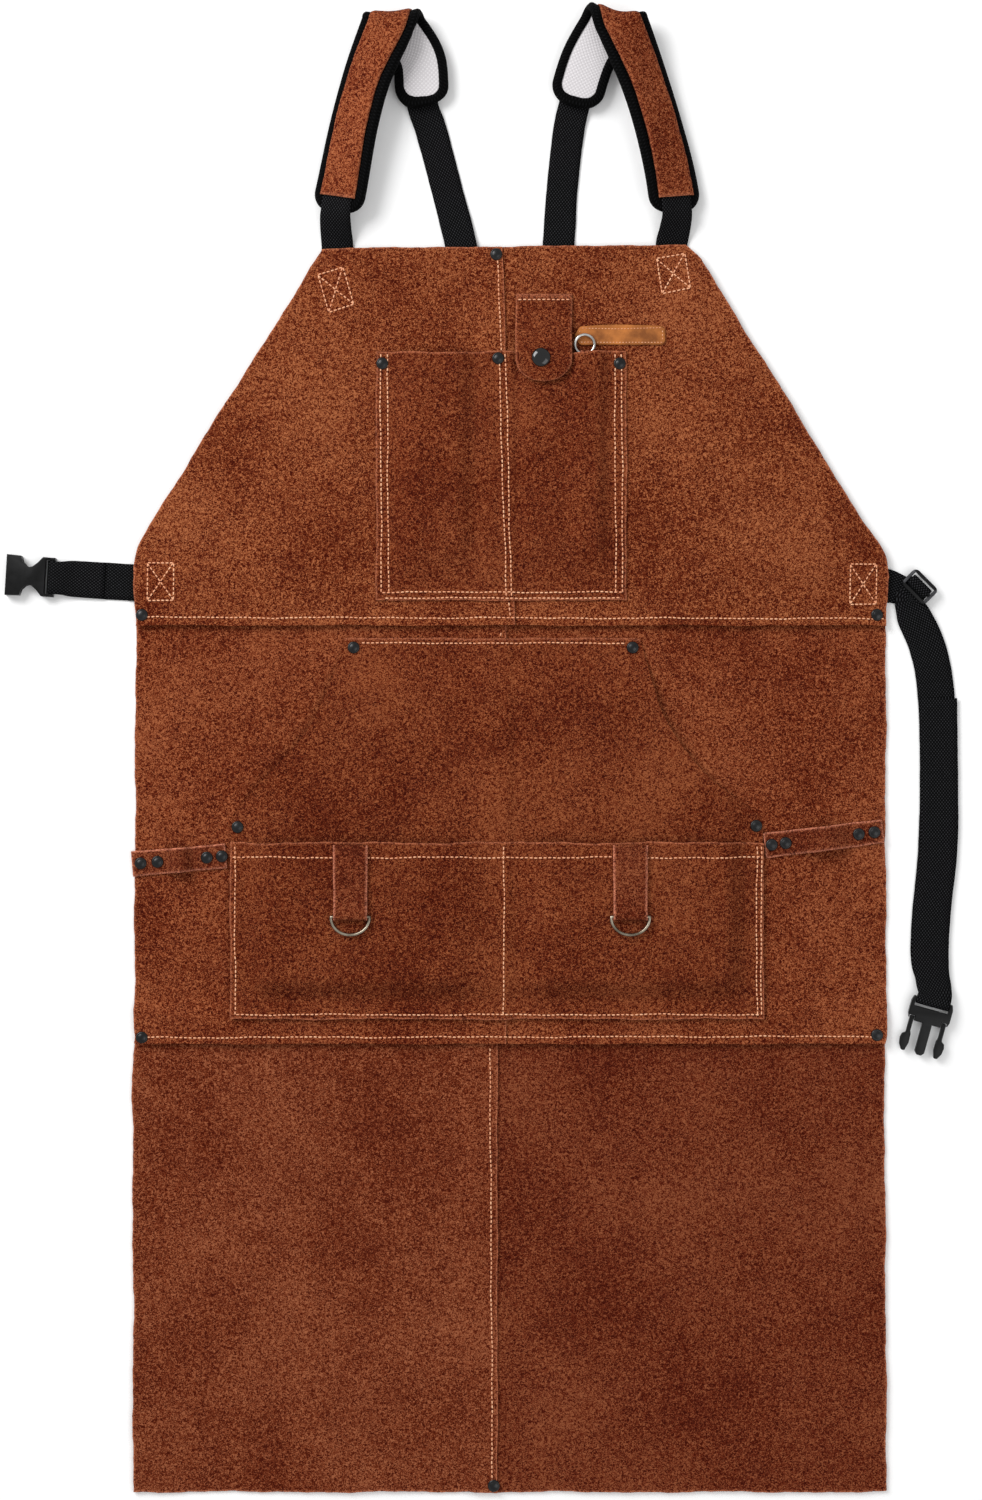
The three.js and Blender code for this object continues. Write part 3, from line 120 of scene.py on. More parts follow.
def calc(tree, operation, *values):
    """A Math node's result."""
    settings = {"operation": operation}
    return node(tree, "ShaderNodeMath", settings, **{f"_{i}": v for i, v in enumerate(values)}).outputs[0]


def spread(tree, value, low, high, to_low=0.0, to_high=1.0):
    """value carried from low..high to to_low..to_high, held inside them."""
    return node(
        tree, "ShaderNodeMapRange", None, _0=value, _1=low, _2=high, _3=to_low, _4=to_high
    ).outputs[0]


def blend_colour(tree, factor, first, second):
    """A colour between first and second."""
    settings = {"data_type": "RGBA"}
    return node(tree, "ShaderNodeMix", settings, _0=factor, _6=first, _7=second).outputs[2]


def noise(tree, vector, scale, detail=3.0, roughness=0.6, curl=0.0):
    """Noise texture values near 0.5; curl bends its grain round."""
    return node(
        tree, "ShaderNodeTexNoise", None, Vector=vector, Scale=scale, Detail=detail, Roughness=roughness,
        Distortion=curl,
    ).outputs[0]


def group(name, inputs, outputs):
    """An empty shader node group with named sockets, and its input and output nodes."""
    tree = bpy.data.node_groups.new(name, "ShaderNodeTree")
    for socket, kind in inputs:
        tree.interface.new_socket(socket, in_out="INPUT", socket_type=f"NodeSocket{kind}")
    for socket, kind in outputs:
        tree.interface.new_socket(socket, in_out="OUTPUT", socket_type=f"NodeSocket{kind}")
    return tree, tree.nodes.new("NodeGroupInput").outputs, tree.nodes.new("NodeGroupOutput").inputs


def srgb(red, green, blue):
    """A colour given as 0..255 display values."""
    shown = np.array([red, green, blue]) / 255
    linear = np.where(shown > 0.04045, ((shown + 0.055) / 1.055) ** 2.4, shown / 12.92)
    return (*linear.tolist(), 1.0)


# ---- Shared effects ----
def suede_group():
    """Nap and blotches of split leather: three sizes of noise summed, then shaded dark, base, light.
    Edge is 1 at a cut edge, where the raw fibres are paler."""
    tree, given, out = group(
        "suede_nap",
        [("Vector", "Vector"), ("Dark", "Color"), ("Base", "Color"), ("Light", "Color"),
         ("Raw", "Color"), ("Edge", "Float"), ("Blotch", "Float")],
        [("Color", "Color"), ("Roughness", "Float"), ("Height", "Float")],
    )
    vector = given["Vector"]
    cloud = noise(tree, vector, calc(tree, "MULTIPLY", given["Blotch"], 9.0), 4.0, 0.55)
    blotch = noise(tree, vector, calc(tree, "MULTIPLY", given["Blotch"], 48.0), 3.0, 0.55)
    nap = noise(tree, vector, 620.0, 2.0, 0.5, 1.6)
    clouded = spread(tree, cloud, 0.34, 0.66, -0.04, 0.34)
    tone = calc(tree, "ADD", clouded, spread(tree, blotch, 0.35, 0.65, 0.0, 0.12))
    tone = calc(tree, "ADD", tone, spread(tree, nap, 0.38, 0.62, -0.32, 0.86))
    shade = blend_colour(tree, spread(tree, tone, 0.0, 0.5), given["Dark"], given["Base"])
    shade = blend_colour(tree, spread(tree, tone, 0.5, 1.0), shade, given["Light"])
    frayed = calc(tree, "MULTIPLY", given["Edge"], spread(tree, nap, 0.35, 0.6, 0.12, 0.8))
    tree.links.new(blend_colour(tree, frayed, shade, given["Raw"]), out["Color"])
    tree.links.new(spread(tree, blotch, 0.3, 0.7, 0.84, 1.0), out["Roughness"])
    fibres = noise(tree, vector, 1500.0, 2.0, 0.6)
    height = calc(tree, "ADD", calc(tree, "MULTIPLY", nap, 0.7), calc(tree, "MULTIPLY", fibres, 0.3))
    tree.links.new(height, out["Height"])
    return tree


def weave_group():
    """Plain weave from a strip's own lengths: two crossed waves whose product gives the crossing
    dots. Across and Along are the sizes of one crossing."""
    tree, given, out = group(
        "plain_weave",
        [("UV", "Vector"), ("Across", "Float"), ("Along", "Float"), ("Dark", "Color"), ("Light", "Color")],
        [("Color", "Color"), ("Height", "Float")],
    )
    parts = node(tree, "ShaderNodeSeparateXYZ", None, _0=given["UV"])

    def wave(value, size):
        """A sine of value with one half turn to each size."""
        turn = calc(tree, "MULTIPLY", calc(tree, "DIVIDE", value, size), math.pi)
        return calc(tree, "SINE", turn)

    over, under = wave(parts.outputs[0], given["Across"]), wave(parts.outputs[1], given["Along"])
    product = calc(tree, "MULTIPLY", over, under)
    crossing = spread(tree, product, -1.0, 1.0)
    speck = noise(tree, given["UV"], 900.0, 2.0)
    speckled = spread(tree, speck, 0.3, 0.65, 0.35, 1.0)
    mask = calc(tree, "MULTIPLY", calc(tree, "POWER", crossing, 4.0), speckled)
    tree.links.new(blend_colour(tree, mask, given["Dark"], given["Light"]), out["Color"])
    tree.links.new(crossing, out["Height"])
    return tree


def grain_group():
    """Fine moulding grain: small noise for roughness and height, and a faint change of tone."""
    tree, given, out = group(
        "fine_grain",
        [("Vector", "Vector"), ("Scale", "Float"), ("Dark", "Color"), ("Light", "Color"),
         ("Smooth", "Float"), ("Rough", "Float")],
        [("Color", "Color"), ("Roughness", "Float"), ("Height", "Float")],
    )
    fine = noise(tree, given["Vector"], given["Scale"], 3.0)
    broad = noise(tree, given["Vector"], calc(tree, "MULTIPLY", given["Scale"], 0.12), 3.0)
    shade = blend_colour(tree, spread(tree, broad, 0.3, 0.7), given["Dark"], given["Light"])
    tree.links.new(shade, out["Color"])
    tree.links.new(spread(tree, broad, 0.3, 0.7, given["Smooth"], given["Rough"]), out["Roughness"])
    tree.links.new(fine, out["Height"])
    return tree


SUEDE_NAP = suede_group()
PLAIN_WEAVE = weave_group()
FINE_GRAIN = grain_group()


def finish_material(made, colour, roughness, height, distance, strength=1.0, **constants):
    """A Principled material fed by a shared effect; constants go straight on the shader."""
    tree = made.node_tree
    shader = tree.nodes["Principled BSDF"]
    tree.links.new(colour, shader.inputs["Base Color"])
    if isinstance(roughness, float):
        shader.inputs["Roughness"].default_value = roughness
    else:
        tree.links.new(roughness, shader.inputs["Roughness"])
    bump = node(tree, "ShaderNodeBump", None, Strength=strength, Distance=distance, Height=height)
    tree.links.new(bump.outputs[0], shader.inputs["Normal"])
    for key, value in constants.items():
        shader.inputs[key.replace("_", " ")].default_value = value
    return made


def new_material(name):
    """A new material, its node tree and its texture coordinates."""
    made = bpy.data.materials.new(name)
    made.use_nodes = True
    return made, made.node_tree, made.node_tree.nodes.new("ShaderNodeTexCoord").outputs


def use(tree, shared, **inputs):
    """A shared effect placed in a material with its own values."""
    placed = tree.nodes.new("ShaderNodeGroup")
    placed.node_tree = shared
    for key, value in inputs.items():
        socket = placed.inputs[key.replace("_", " ")]
        if isinstance(value, bpy.types.NodeSocket):
            tree.links.new(value, socket)
        else:
            socket.default_value = value
    return placed.outputs


def suede(name, dark, base, light, raw=(186, 112, 80), blotch=1.0):
    """Split leather in its own tones, paler where the attribute called edge is high."""
    made, tree, coordinates = new_material(name)
    edge = node(tree, "ShaderNodeAttribute", {"attribute_name": "edge"}).outputs["Fac"]
    effect = use(
        tree, SUEDE_NAP, Vector=coordinates["Object"], Dark=srgb(*dark), Base=srgb(*base),
        Light=srgb(*light), Raw=srgb(*raw), Edge=edge, Blotch=blotch,
    )
    return finish_material(
        made, effect["Color"], effect["Roughness"], effect["Height"], 0.0009, 0.75,
        Specular_IOR_Level=0.08,
    )


def woven(name, across, along, dark, light, distance=0.0005):
    """Woven tape or webbing; its UV map holds lengths in metres, across then along."""
    made, tree, coordinates = new_material(name)
    effect = use(
        tree, PLAIN_WEAVE, UV=coordinates["UV"], Across=across, Along=along,
        Dark=srgb(*dark), Light=srgb(*light),
    )
    return finish_material(
        made, effect["Color"], 0.85, effect["Height"], distance, 0.8, Specular_IOR_Level=0.06
    )


def grained(name, dark, light, scale, smooth, rough, distance, **constants):
    """Moulded, drawn or cast stuff with a fine grain."""
    made, tree, coordinates = new_material(name)
    effect = use(
        tree, FINE_GRAIN, Vector=coordinates["Object"], Scale=scale, Dark=srgb(*dark),
        Light=srgb(*light), Smooth=smooth, Rough=rough,
    )
    return finish_material(
        made, effect["Color"], effect["Roughness"], effect["Height"], distance, 0.6, **constants
    )


BIB_SUEDE = suede("bib_suede", (58, 8, 0), (102, 38, 13), (158, 93, 57))
MIDDLE_SUEDE = suede("middle_suede", (56, 7, 0), (100, 36, 12), (151, 86, 53))
SKIRT_LEFT_SUEDE = suede("skirt_left_suede", (62, 12, 1), (103, 40, 16), (145, 84, 55), blotch=0.8)
SKIRT_RIGHT_SUEDE = suede("skirt_right_suede", (56, 8, 0), (93, 31, 11), (133, 74, 46), blotch=0.8)
POCKET_SUEDE = suede("pocket_suede", (52, 6, 0), (94, 32, 10), (140, 78, 46), blotch=1.15)
TRIM_SUEDE = suede("trim_suede", (52, 8, 0), (93, 32, 13), (136, 76, 47), (224, 142, 112), blotch=1.6)
STRIP_SUEDE = suede("strip_suede", (58, 9, 0), (103, 38, 15), (154, 88, 54), blotch=1.4)
LABEL_LEATHER = grained(
    "tan_label", (120, 66, 22), (184, 112, 52), 620.0, 0.55, 0.75, 0.0003, Specular_IOR_Level=0.25
)
WEBBING_WEAVE = woven("webbing_weave", 0.0012, 0.0015, (0, 0, 0), (66, 66, 69))
BINDING_TAPE = woven("binding_tape", 0.0034, 0.0014, (0, 0, 0), (24, 24, 26), 0.0007)
PAD_BASE = woven("pad_base_knit", 0.0011, 0.0011, (6, 6, 7), (30, 30, 32), 0.0003)
LINING_MESH = woven("lining_mesh", 0.0016, 0.0016, (196, 192, 194), (232, 229, 230), 0.0004)
BLACK_PLASTIC = grained(
    "black_plastic", (0, 0, 0), (4, 4, 5), 1800.0, 0.34, 0.5, 0.00006, Specular_IOR_Level=0.22
)
BLACK_METAL = grained(
    "black_metal", (2, 2, 3), (10, 11, 13), 900.0, 0.24, 0.4, 0.00005, Specular_IOR_Level=0.35
)
GLOSS_BLACK = grained(
    "gloss_black", (0, 0, 0), (2, 2, 2), 500.0, 0.1, 0.16, 0.00002, Specular_IOR_Level=0.6
)
STEEL = grained("steel_wire", (170, 168, 164), (214, 212, 208), 600.0, 0.2, 0.34, 0.00005, Metallic=1.0)
ANTIQUE = grained(
    "antique_wire", (104, 94, 80), (176, 166, 148), 420.0, 0.26, 0.42, 0.00008, Metallic=1.0
)
GREY_PLASTIC = grained(
    "grey_plastic", (38, 38, 40), (70, 70, 73), 1400.0, 0.4, 0.55, 0.0002, Specular_IOR_Level=0.4
)
THREAD = grained("sewing_thread", (214, 138, 98), (240, 186, 146), 900.0, 0.7, 0.9, 0.0002)
FLOOR = grained("floor_paper", (242, 242, 242), (244, 244, 244), 40.0, 0.9, 0.95, 0.00001)


# ---- Mesh helpers ----
def piece(name, points, quads, look, body="apron", triangles=None, stands_for=(), uv=None, edge=None):
    """One finished object from whole arrays: points in millimetres, faces by point number."""
    mesh = bpy.data.meshes.new(name)
    points = np.asarray(points, float).reshape(-1, 3)
    quads = np.asarray(quads, int).reshape(-1, 4)
    triangles = np.zeros((0, 3), int) if triangles is None else np.asarray(triangles, int).reshape(-1, 3)
    mesh.vertices.add(len(points))
    mesh.vertices.foreach_set("co", world(points).ravel())
    corners = np.concatenate([quads.ravel(), triangles.ravel()])
    starts = np.concatenate([np.arange(len(quads)) * 4, quads.size + np.arange(len(triangles)) * 3])
    mesh.loops.add(len(corners))
    mesh.loops.foreach_set("vertex_index", corners)
    mesh.polygons.add(len(starts))
    mesh.polygons.foreach_set("loop_start", starts)
    mesh.update(calc_edges=True)
    mesh.validate()
    mesh.shade_smooth()
    if uv is not None:
        layer = mesh.uv_layers.new(name="lengths")
        layer.data.foreach_set("uv", (np.asarray(uv, float).reshape(-1, 2)[corners] / 1000).ravel())
    if edge is not None:
        fade = mesh.attributes.new("edge", "FLOAT", "POINT")
        fade.data.foreach_set("value", np.asarray(edge, float).ravel())
    made = bpy.data.objects.new(name, mesh)
    bpy.context.collection.objects.link(made)
    mesh.materials.append(look)
    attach(made, body)
    if stands_for:
        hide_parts(*stands_for)
    return made


def grid_quads(rows, columns, wrap_rows=False, wrap_columns=False):
    """Quads between neighbouring points of a rows by columns grid, joined round where it wraps."""
    r = np.arange(rows if wrap_rows else rows - 1)[:, None]
    c = np.arange(columns if wrap_columns else columns - 1)[None, :]
    r1, c1 = (r + 1) % rows, (c + 1) % columns
    corners = [r * columns + c, r * columns + c1, r1 * columns + c1, r1 * columns + c]
    return np.stack(np.broadcast_arrays(*corners), axis=-1).reshape(-1, 4)


def closed_sheet(top, bottom):
    """Points and quads of a sheet: a top grid, a bottom grid under it and the four walls between."""
    rows, columns = top.shape[:2]
    count = rows * columns
    face = grid_quads(rows, columns)
    number = np.arange(count).reshape(rows, columns)
    rim = np.concatenate([number[0, :], number[1:, -1], number[-1, -2::-1], number[-2:0:-1, 0]])
    after = np.roll(rim, -1)
    walls = np.stack([rim, rim + count, after + count, after], axis=-1)
    quads = np.concatenate([face, face[:, ::-1] + count, walls])
    return np.concatenate([top.reshape(-1, 3), bottom.reshape(-1, 3)]), quads


def end_fans(sides, last_ring, first_tip, last_tip):
    """Triangles that draw a ringed shape's two ends to a point each. last_ring is the number of its
    last ring's first point."""
    k = np.arange(sides)
    k1 = (k + 1) % sides
    first = np.stack([np.full(sides, first_tip), k1, k], axis=-1)
    last = np.stack([np.full(sides, last_tip), last_ring + k, last_ring + k1], axis=-1)
    return np.concatenate([first, last])


def lines(low, high, step, *focus):
    """Grid lines from low to high about step apart, closer together near each focus line."""
    near = np.array([-6.0, -3.5, -1.8, -0.7, 0.0, 0.7, 1.8, 3.5, 6.0])
    base = np.linspace(low, high, max(2, int(round((high - low) / step)) + 1))
    extra = (np.array(focus, float)[:, None] + near).ravel()
    extra = extra[(extra > low + 0.3) & (extra < high - 0.3)]
    merged = np.sort(np.concatenate([base, extra, [low + 0.5, low + 1.6, high - 1.6, high - 0.5]]))
    merged = merged[np.concatenate([[True], np.diff(merged) > 0.45])]
    merged[-1] = high
    return merged


def ease(s, *points):
    """Smooth steps through (position, value) points, level beyond both ends."""
    at, value = np.array(points, float).T
    k = np.clip(np.searchsorted(at, s, side="right") - 1, 0, len(at) - 2)
    t = np.clip((s - at[k]) / (at[k + 1] - at[k]), 0, 1)
    return value[k] + (value[k + 1] - value[k]) * t * t * (3 - 2 * t)


def ramp(s, *points):
    """Straight lines through (position, value) points, level beyond both ends."""
    at, value = np.array(points, float).T
    return np.interp(s, at, value)


def waver(t, amount, seed):
    """A wandering edge: five sine waves of 9 to 130 mm with phases set by seed."""
    lengths = np.array([131.0, 67.0, 37.0, 17.0, 9.0])
    sizes = np.array([0.45, 0.3, 0.25, 0.16, 0.12])
    phases = np.sin(np.arange(1, 6) * (12.9898 + seed * 4.1414)) * 43.7
    return amount * np.sum(sizes * np.sin(2 * math.pi * np.asarray(t)[..., None] / lengths + phases), axis=-1)


def swell(x, y, size, seed):
    """Slow hills and hollows between 0 and 1: crossed sine waves about size millimetres long."""
    turn = np.arange(1, 6) * 2.399963 + seed
    wave = 2 * math.pi / (size * np.array([1.0, 0.83, 1.31, 0.62, 0.47]))
    phase = np.sin((seed + 1) * np.arange(2, 7) * 7.13) * 6.3
    along = x[..., None] * np.cos(turn) + y[..., None] * np.sin(turn)
    mixed = np.sum(np.array([0.3, 0.25, 0.2, 0.15, 0.1]) * np.sin(along * wave + phase), axis=-1)
    return 0.5 + 0.5 * mixed


# ---- Leather body: edges and heights ----
SKIRT_TOP = 374.0
MIDDLE_BOTTOM = 359.0
MIDDLE_TOP = 709.0
BIB_BOTTOM = 693.0
BIB_TOP = 995.0
LAP_WIDTH = 16.0
JOGGLE = 14.0
BIB_LAP = 0.0
MIDDLE_LAP = -3.0
SKIRT_LAP = -10.0
CHEST = {"left": -107.0, "right": 93.0, "bottom": 713.0, "top": 912.0}
HAND = {"left": -223.0, "right": 202.0, "bottom": 383.0, "top": 683.0}
TOOL = {"left": -223.5, "right": 202.5, "bottom": 379.0, "top": 520.0}
HAND_PUFF = 5.0
TOOL_PUFF = 6.0
SNAP_PUFF = 3.5
FLAP_LIFT = 7.7
DIVIDER_LEFT = -14.0
DIVIDER_RIGHT = 5.0
RIM = 11.0
RING_TABS = {"left": -127.0, "right": 95.6}


def drape(x, y):
    """How far the laid leather lifts off the table: slow swells, still under the pockets' fittings
    and along the seams."""
    open_skirt = ease(y, (330, 1), (372, 0))
    open_middle = ease(y, (372, 0), (420, 1), (650, 1), (695, 0)) * np.maximum(
        ease(x, (-262, 1), (-228, 0)), ease(x, (206, 0), (240, 1))
    )
    beside_pocket = np.maximum(ease(x, (-135, 1), (-108, 0)), ease(x, (126, 0), (150, 1)))
    open_bib = ease(y, (700, 0), (740, 1)) * beside_pocket
    open_bib = np.maximum(open_bib, ease(y, (962, 0), (985, 1)))
    lifted = open_skirt * 2.4 * swell(x, y, 190, 1) + open_middle * 1.7 * swell(x, y, 120, 2)
    return lifted + open_bib * 2.2 * swell(x, y, 130, 3)


def lap_step(x, edge):
    """0 where a panel lies on the table, 1 where it has stepped over its other half's hidden edge."""
    start = edge - LAP_WIDTH - 1
    return ease(x, (start - JOGGLE, 0), (start, 1))


def over_lap(x, edge):
    """What lies on a lapped seam: up with it, and down beyond its cut edge."""
    start = edge - LAP_WIDTH - 1
    return ease(x, (start - JOGGLE, 0), (start, 1), (edge + 0.5, 1), (edge + 8, 0))


def seam_rise(y):
    """The middle panel climbs over the skirt's upper edge."""
    return ease(y, (MIDDLE_BOTTOM + 19, 2 * PLY), (MIDDLE_BOTTOM + 39, 0))


def lip(y, low):
    """The free lower edge of a lapped panel curls up a little: a bell curve round its edge line."""
    return 1.2 * np.exp(-(((y - low) / 3.4) ** 2))


def skirt_top(x, y):
    """Upper face of the skirt, its left half stepping up over the lap."""
    return LEATHER + drape(x, y) + PLY * np.where(x < SKIRT_LAP + 0.5, lap_step(x, SKIRT_LAP), 0)


def middle_top(x, y):
    """Upper face of the middle panel."""
    lapped = PLY * np.where(x < MIDDLE_LAP + 0.5, lap_step(x, MIDDLE_LAP), 0)
    return LEATHER + seam_rise(y) + drape(x, y) + lip(y, MIDDLE_BOTTOM) + lapped


def bib_edge(y):
    """Where the bib's left half ends over its right half."""
    return ramp(y, (BIB_BOTTOM, 4.0), (BIB_TOP, -6.0))


def bib_top(x, y):
    """Upper face of the bib."""
    lapped = PLY * np.where(x < bib_edge(y) + 0.5, lap_step(x, BIB_LAP), 0)
    return LEATHER + 2 * PLY + drape(x, y) + lip(y, BIB_BOTTOM) + lapped


def chest_face(x, y):
    """Upper face of the chest pocket: flat along its stitching and divider, bulging between."""
    across = ease(
        x, (CHEST["left"] + RIM, 0), (CHEST["left"] + 34, 7.0), (-45, 7.0), (DIVIDER_LEFT - 9, 0),
        (DIVIDER_RIGHT, 0), (15, SNAP_PUFF), (46, SNAP_PUFF), (56, 7.0), (CHEST["right"] - 26, 6.5),
        (CHEST["right"] - RIM, 0),
    )
    up = ease(y, (CHEST["bottom"] + RIM + 3, 0), (CHEST["bottom"] + 52, 1))
    crease = 1.0 + 0.22 * (swell(x, y, 70, 5) - 0.5)
    return 3 * PLY + LEATHER + PLY * over_lap(x, BIB_LAP) + across * up * crease


def hand_puff(x, y):
    """Bulge of the hand pocket, low along its seams and open at the side slits."""
    across = ease(
        x, (HAND["left"] + RIM, 0), (HAND["left"] + 32, 1), (HAND["right"] - 32, 1), (HAND["right"] - RIM, 0)
    )
    up = ease(y, (TOOL["bottom"] + RIM, 0), (TOOL["bottom"] + 34, 1), (636, 1), (HAND["top"] - 13, 0))
    slit = ease(y, (549, 0), (570, 1), (636, 1), (HAND["top"] - 19, 0))
    return HAND_PUFF * up * np.maximum(across, slit)


def hand_face(x, y):
    """Upper face of the hand pocket."""
    crease = 0.7 * swell(x, y, 80, 7) * ease(y, (520, 0), (548, 1), (640, 1), (670, 0))
    lifted = PLY * over_lap(x, MIDDLE_LAP) + hand_puff(x, y) + crease
    return PLY + LEATHER + seam_rise(y) + lifted


def tool_face(x, y):
    """Upper face of the tool pocket, split in two by its divider."""
    across = ease(
        x, (HAND["left"] + RIM, 0), (HAND["left"] + 32, 1), (-46, 1), (DIVIDER_LEFT, 0),
        (DIVIDER_RIGHT, 0), (36, 1), (HAND["right"] - 32, 1), (HAND["right"] - RIM, 0),
    )
    up = ease(y, (TOOL["bottom"] + RIM, 0), (TOOL["bottom"] + 34, 1))
    from_tab = np.minimum(abs(x - RING_TABS["left"]), abs(x - RING_TABS["right"]))
    still = 1 - ease(from_tab, (14, 1), (26, 0)) * ease(y, (430, 0), (455, 1))
    crease = 1.0 + 0.3 * (swell(x, y, 60, 8) - 0.5) * still
    flat_hand = PLY + LEATHER + seam_rise(y) + PLY * over_lap(x, MIDDLE_LAP) + hand_puff(x, y)
    return flat_hand + PLY + TOOL_PUFF * across * up * crease


def leather(name, x, y, height, look, body="apron", raw="lrbt",
            thickness=LEATHER, softness=1.0):
    """A sheet of leather on grids of x and y with its upper face at height(x, y).
    The attribute edge fades from 1 at each raw side (l, r, b, t)."""
    z = height(x, y)
    top = np.stack([x, y, z], axis=-1)
    bottom = np.stack([x, y, z - thickness], axis=-1)
    points, quads = closed_sheet(top, bottom)
    far = np.full(x.shape, 99.0)
    step = lambda a, b: np.hypot(x - a, y - b)
    sides = {
        "l": step(x[:, :1], y[:, :1]), "r": step(x[:, -1:], y[:, -1:]),
        "b": step(x[:1, :], y[:1, :]), "t": step(x[-1:, :], y[-1:, :]),
    }
    for side in raw:
        far = np.minimum(far, sides[side])
    edge = np.exp(-((far / softness) ** 2))
    made = piece(
        name, points, quads, look, body, stands_for=[name], edge=np.concatenate([edge.ravel()] * 2)
    )
    return made


def left_side(y):
    """The body's left cut edge, from hem to bib top."""
    shape = ramp(
        y, (0, -301.5), (120, -301), (330, -302), (366, -299.5), (372, -300.5), (693, -299), (740, -300.5),
        (750, -299), (758, -296.5), (766, -292.5), (774, -288), (994, -150),
    )
    return shape + waver(y, 0.9, 1)


def right_side(y):
    """The body's right cut edge, from hem to the bevelled bib corner."""
    shape = ramp(
        y, (0, 301), (200, 300), (359, 299), (366, 301.5), (500, 300), (693, 300.5), (733, 302),
        (745, 300.5), (755, 296), (765, 289), (778, 280), (984, 152), (997, 138),
    )
    return shape + waver(y, 0.9, 2)


STILL = 60.0  # half the middle band, where a panel's grid lines stay upright


def panel(name, xs, ys, left, right, low, high, height, look, raw):
    """A panel half: grid lines xs, ys stretched between the edges left(y), right(y), low(x), high(x)."""
    u = (xs - xs[0]) / (xs[-1] - xs[0])
    v = (ys - ys[0]) / (ys[-1] - ys[0])
    start, end = left(ys)[:, None], right(ys)[:, None]
    inner = (xs > -STILL) & (xs < STILL)
    x = np.where(inner[None, :], xs[None, :], start + (end - start) * u[None, :])
    left_part = xs < -STILL
    right_part = xs > STILL
    if left_part.any():
        k = (xs[left_part] - xs[0]) / (-STILL - xs[0])
        x[:, left_part] = start + (-STILL - start) * k[None, :]
    if right_part.any():
        k = (xs[right_part] - STILL) / (xs[-1] - STILL)
        x[:, right_part] = STILL + (end - STILL) * k[None, :]
    if not left_part.any():
        pull = np.exp(-(xs - xs[0]) / 6)[None, :]
        x = x + (start - xs[0]) * pull
    if not right_part.any():
        pull = np.exp(-(xs[-1] - xs) / 6)[None, :]
        x = x + (end - xs[-1]) * pull
    bottom, top = low(x), high(x)
    y = bottom + (top - bottom) * v[:, None]
    return leather(name, x, y, height, look, raw=raw)


def constant(value):
    """An edge that stays at one value."""
    return lambda s: np.full(np.shape(s), float(value))


def wandering(value, amount, seed):
    """An edge that wanders by about amount round one value."""
    return lambda s: value + waver(s, amount, seed)


def bib_high(x):
    """The bib's upper edge: a slope of 3 mm in 288, wandering a little."""
    return 994.0 + 3.0 * (x + 150) / 288 + waver(x, 0.6, 6)


def bib_lap_edge(y):
    """The cut edge of the bib's left half."""
    return bib_edge(y) + waver(y, 0.4, 9)


def flat_skirt(x, y):
    """Upper face of the skirt's right half, which lies on the table."""
    return LEATHER + drape(x, y)


def flat_middle(x, y):
    """Upper face of the middle panel's right half."""
    return LEATHER + seam_rise(y) + drape(x, y) + lip(y, MIDDLE_BOTTOM)


def flat_bib(x, y):
    """Upper face of the bib's right half."""
    return 2 * PLY + LEATHER + drape(x, y) + lip(y, BIB_BOTTOM)


hem = wandering(0.6, 0.9, 3)
middle_low = wandering(MIDDLE_BOTTOM, 0.7, 4)
bib_low = wandering(BIB_BOTTOM, 0.7, 5)
skirt_rows = lines(0, SKIRT_TOP, 3.4, 6)
middle_rows = lines(MIDDLE_BOTTOM, MIDDLE_TOP, 3.4, 364, 378, 398)
bib_rows = lines(BIB_BOTTOM, BIB_TOP, 3.0, 699)

panel(
    "skirt_left", lines(-301, SKIRT_LAP, 3.4, -14, -34), skirt_rows, left_side, wandering(SKIRT_LAP, 0.6, 7),
    hem, constant(SKIRT_TOP), lambda x, y: skirt_top(np.minimum(x, SKIRT_LAP), y), SKIRT_LEFT_SUEDE,
    "lrb",
)
panel(
    "skirt_right", lines(SKIRT_LAP - LAP_WIDTH, 301, 3.4), skirt_rows, constant(SKIRT_LAP - LAP_WIDTH),
    right_side, hem, constant(SKIRT_TOP), flat_skirt, SKIRT_RIGHT_SUEDE, "rb",
)
panel(
    "middle_left", lines(-301, MIDDLE_LAP, 3.4, -7, -27), middle_rows, left_side,
    wandering(MIDDLE_LAP, 0.5, 8), middle_low, constant(MIDDLE_TOP),
    lambda x, y: middle_top(np.minimum(x, MIDDLE_LAP), y), MIDDLE_SUEDE, "lr",
)
panel(
    "middle_right", lines(MIDDLE_LAP - LAP_WIDTH, 301, 3.4), middle_rows,
    constant(MIDDLE_LAP - LAP_WIDTH), right_side, middle_low, constant(MIDDLE_TOP), flat_middle,
    MIDDLE_SUEDE, "r",
)
panel(
    "bib_left", lines(-301, BIB_LAP, 3.0, -5, -24), bib_rows, left_side, bib_lap_edge, bib_low, bib_high,
    lambda x, y: flat_bib(x, y) + PLY * lap_step(x, BIB_LAP), BIB_SUEDE, "lrt",
)
panel(
    "bib_right", lines(BIB_LAP - LAP_WIDTH, 301, 3.0), bib_rows, constant(BIB_LAP - LAP_WIDTH), right_side,
    bib_low, bib_high, flat_bib, BIB_SUEDE, "rt",
)

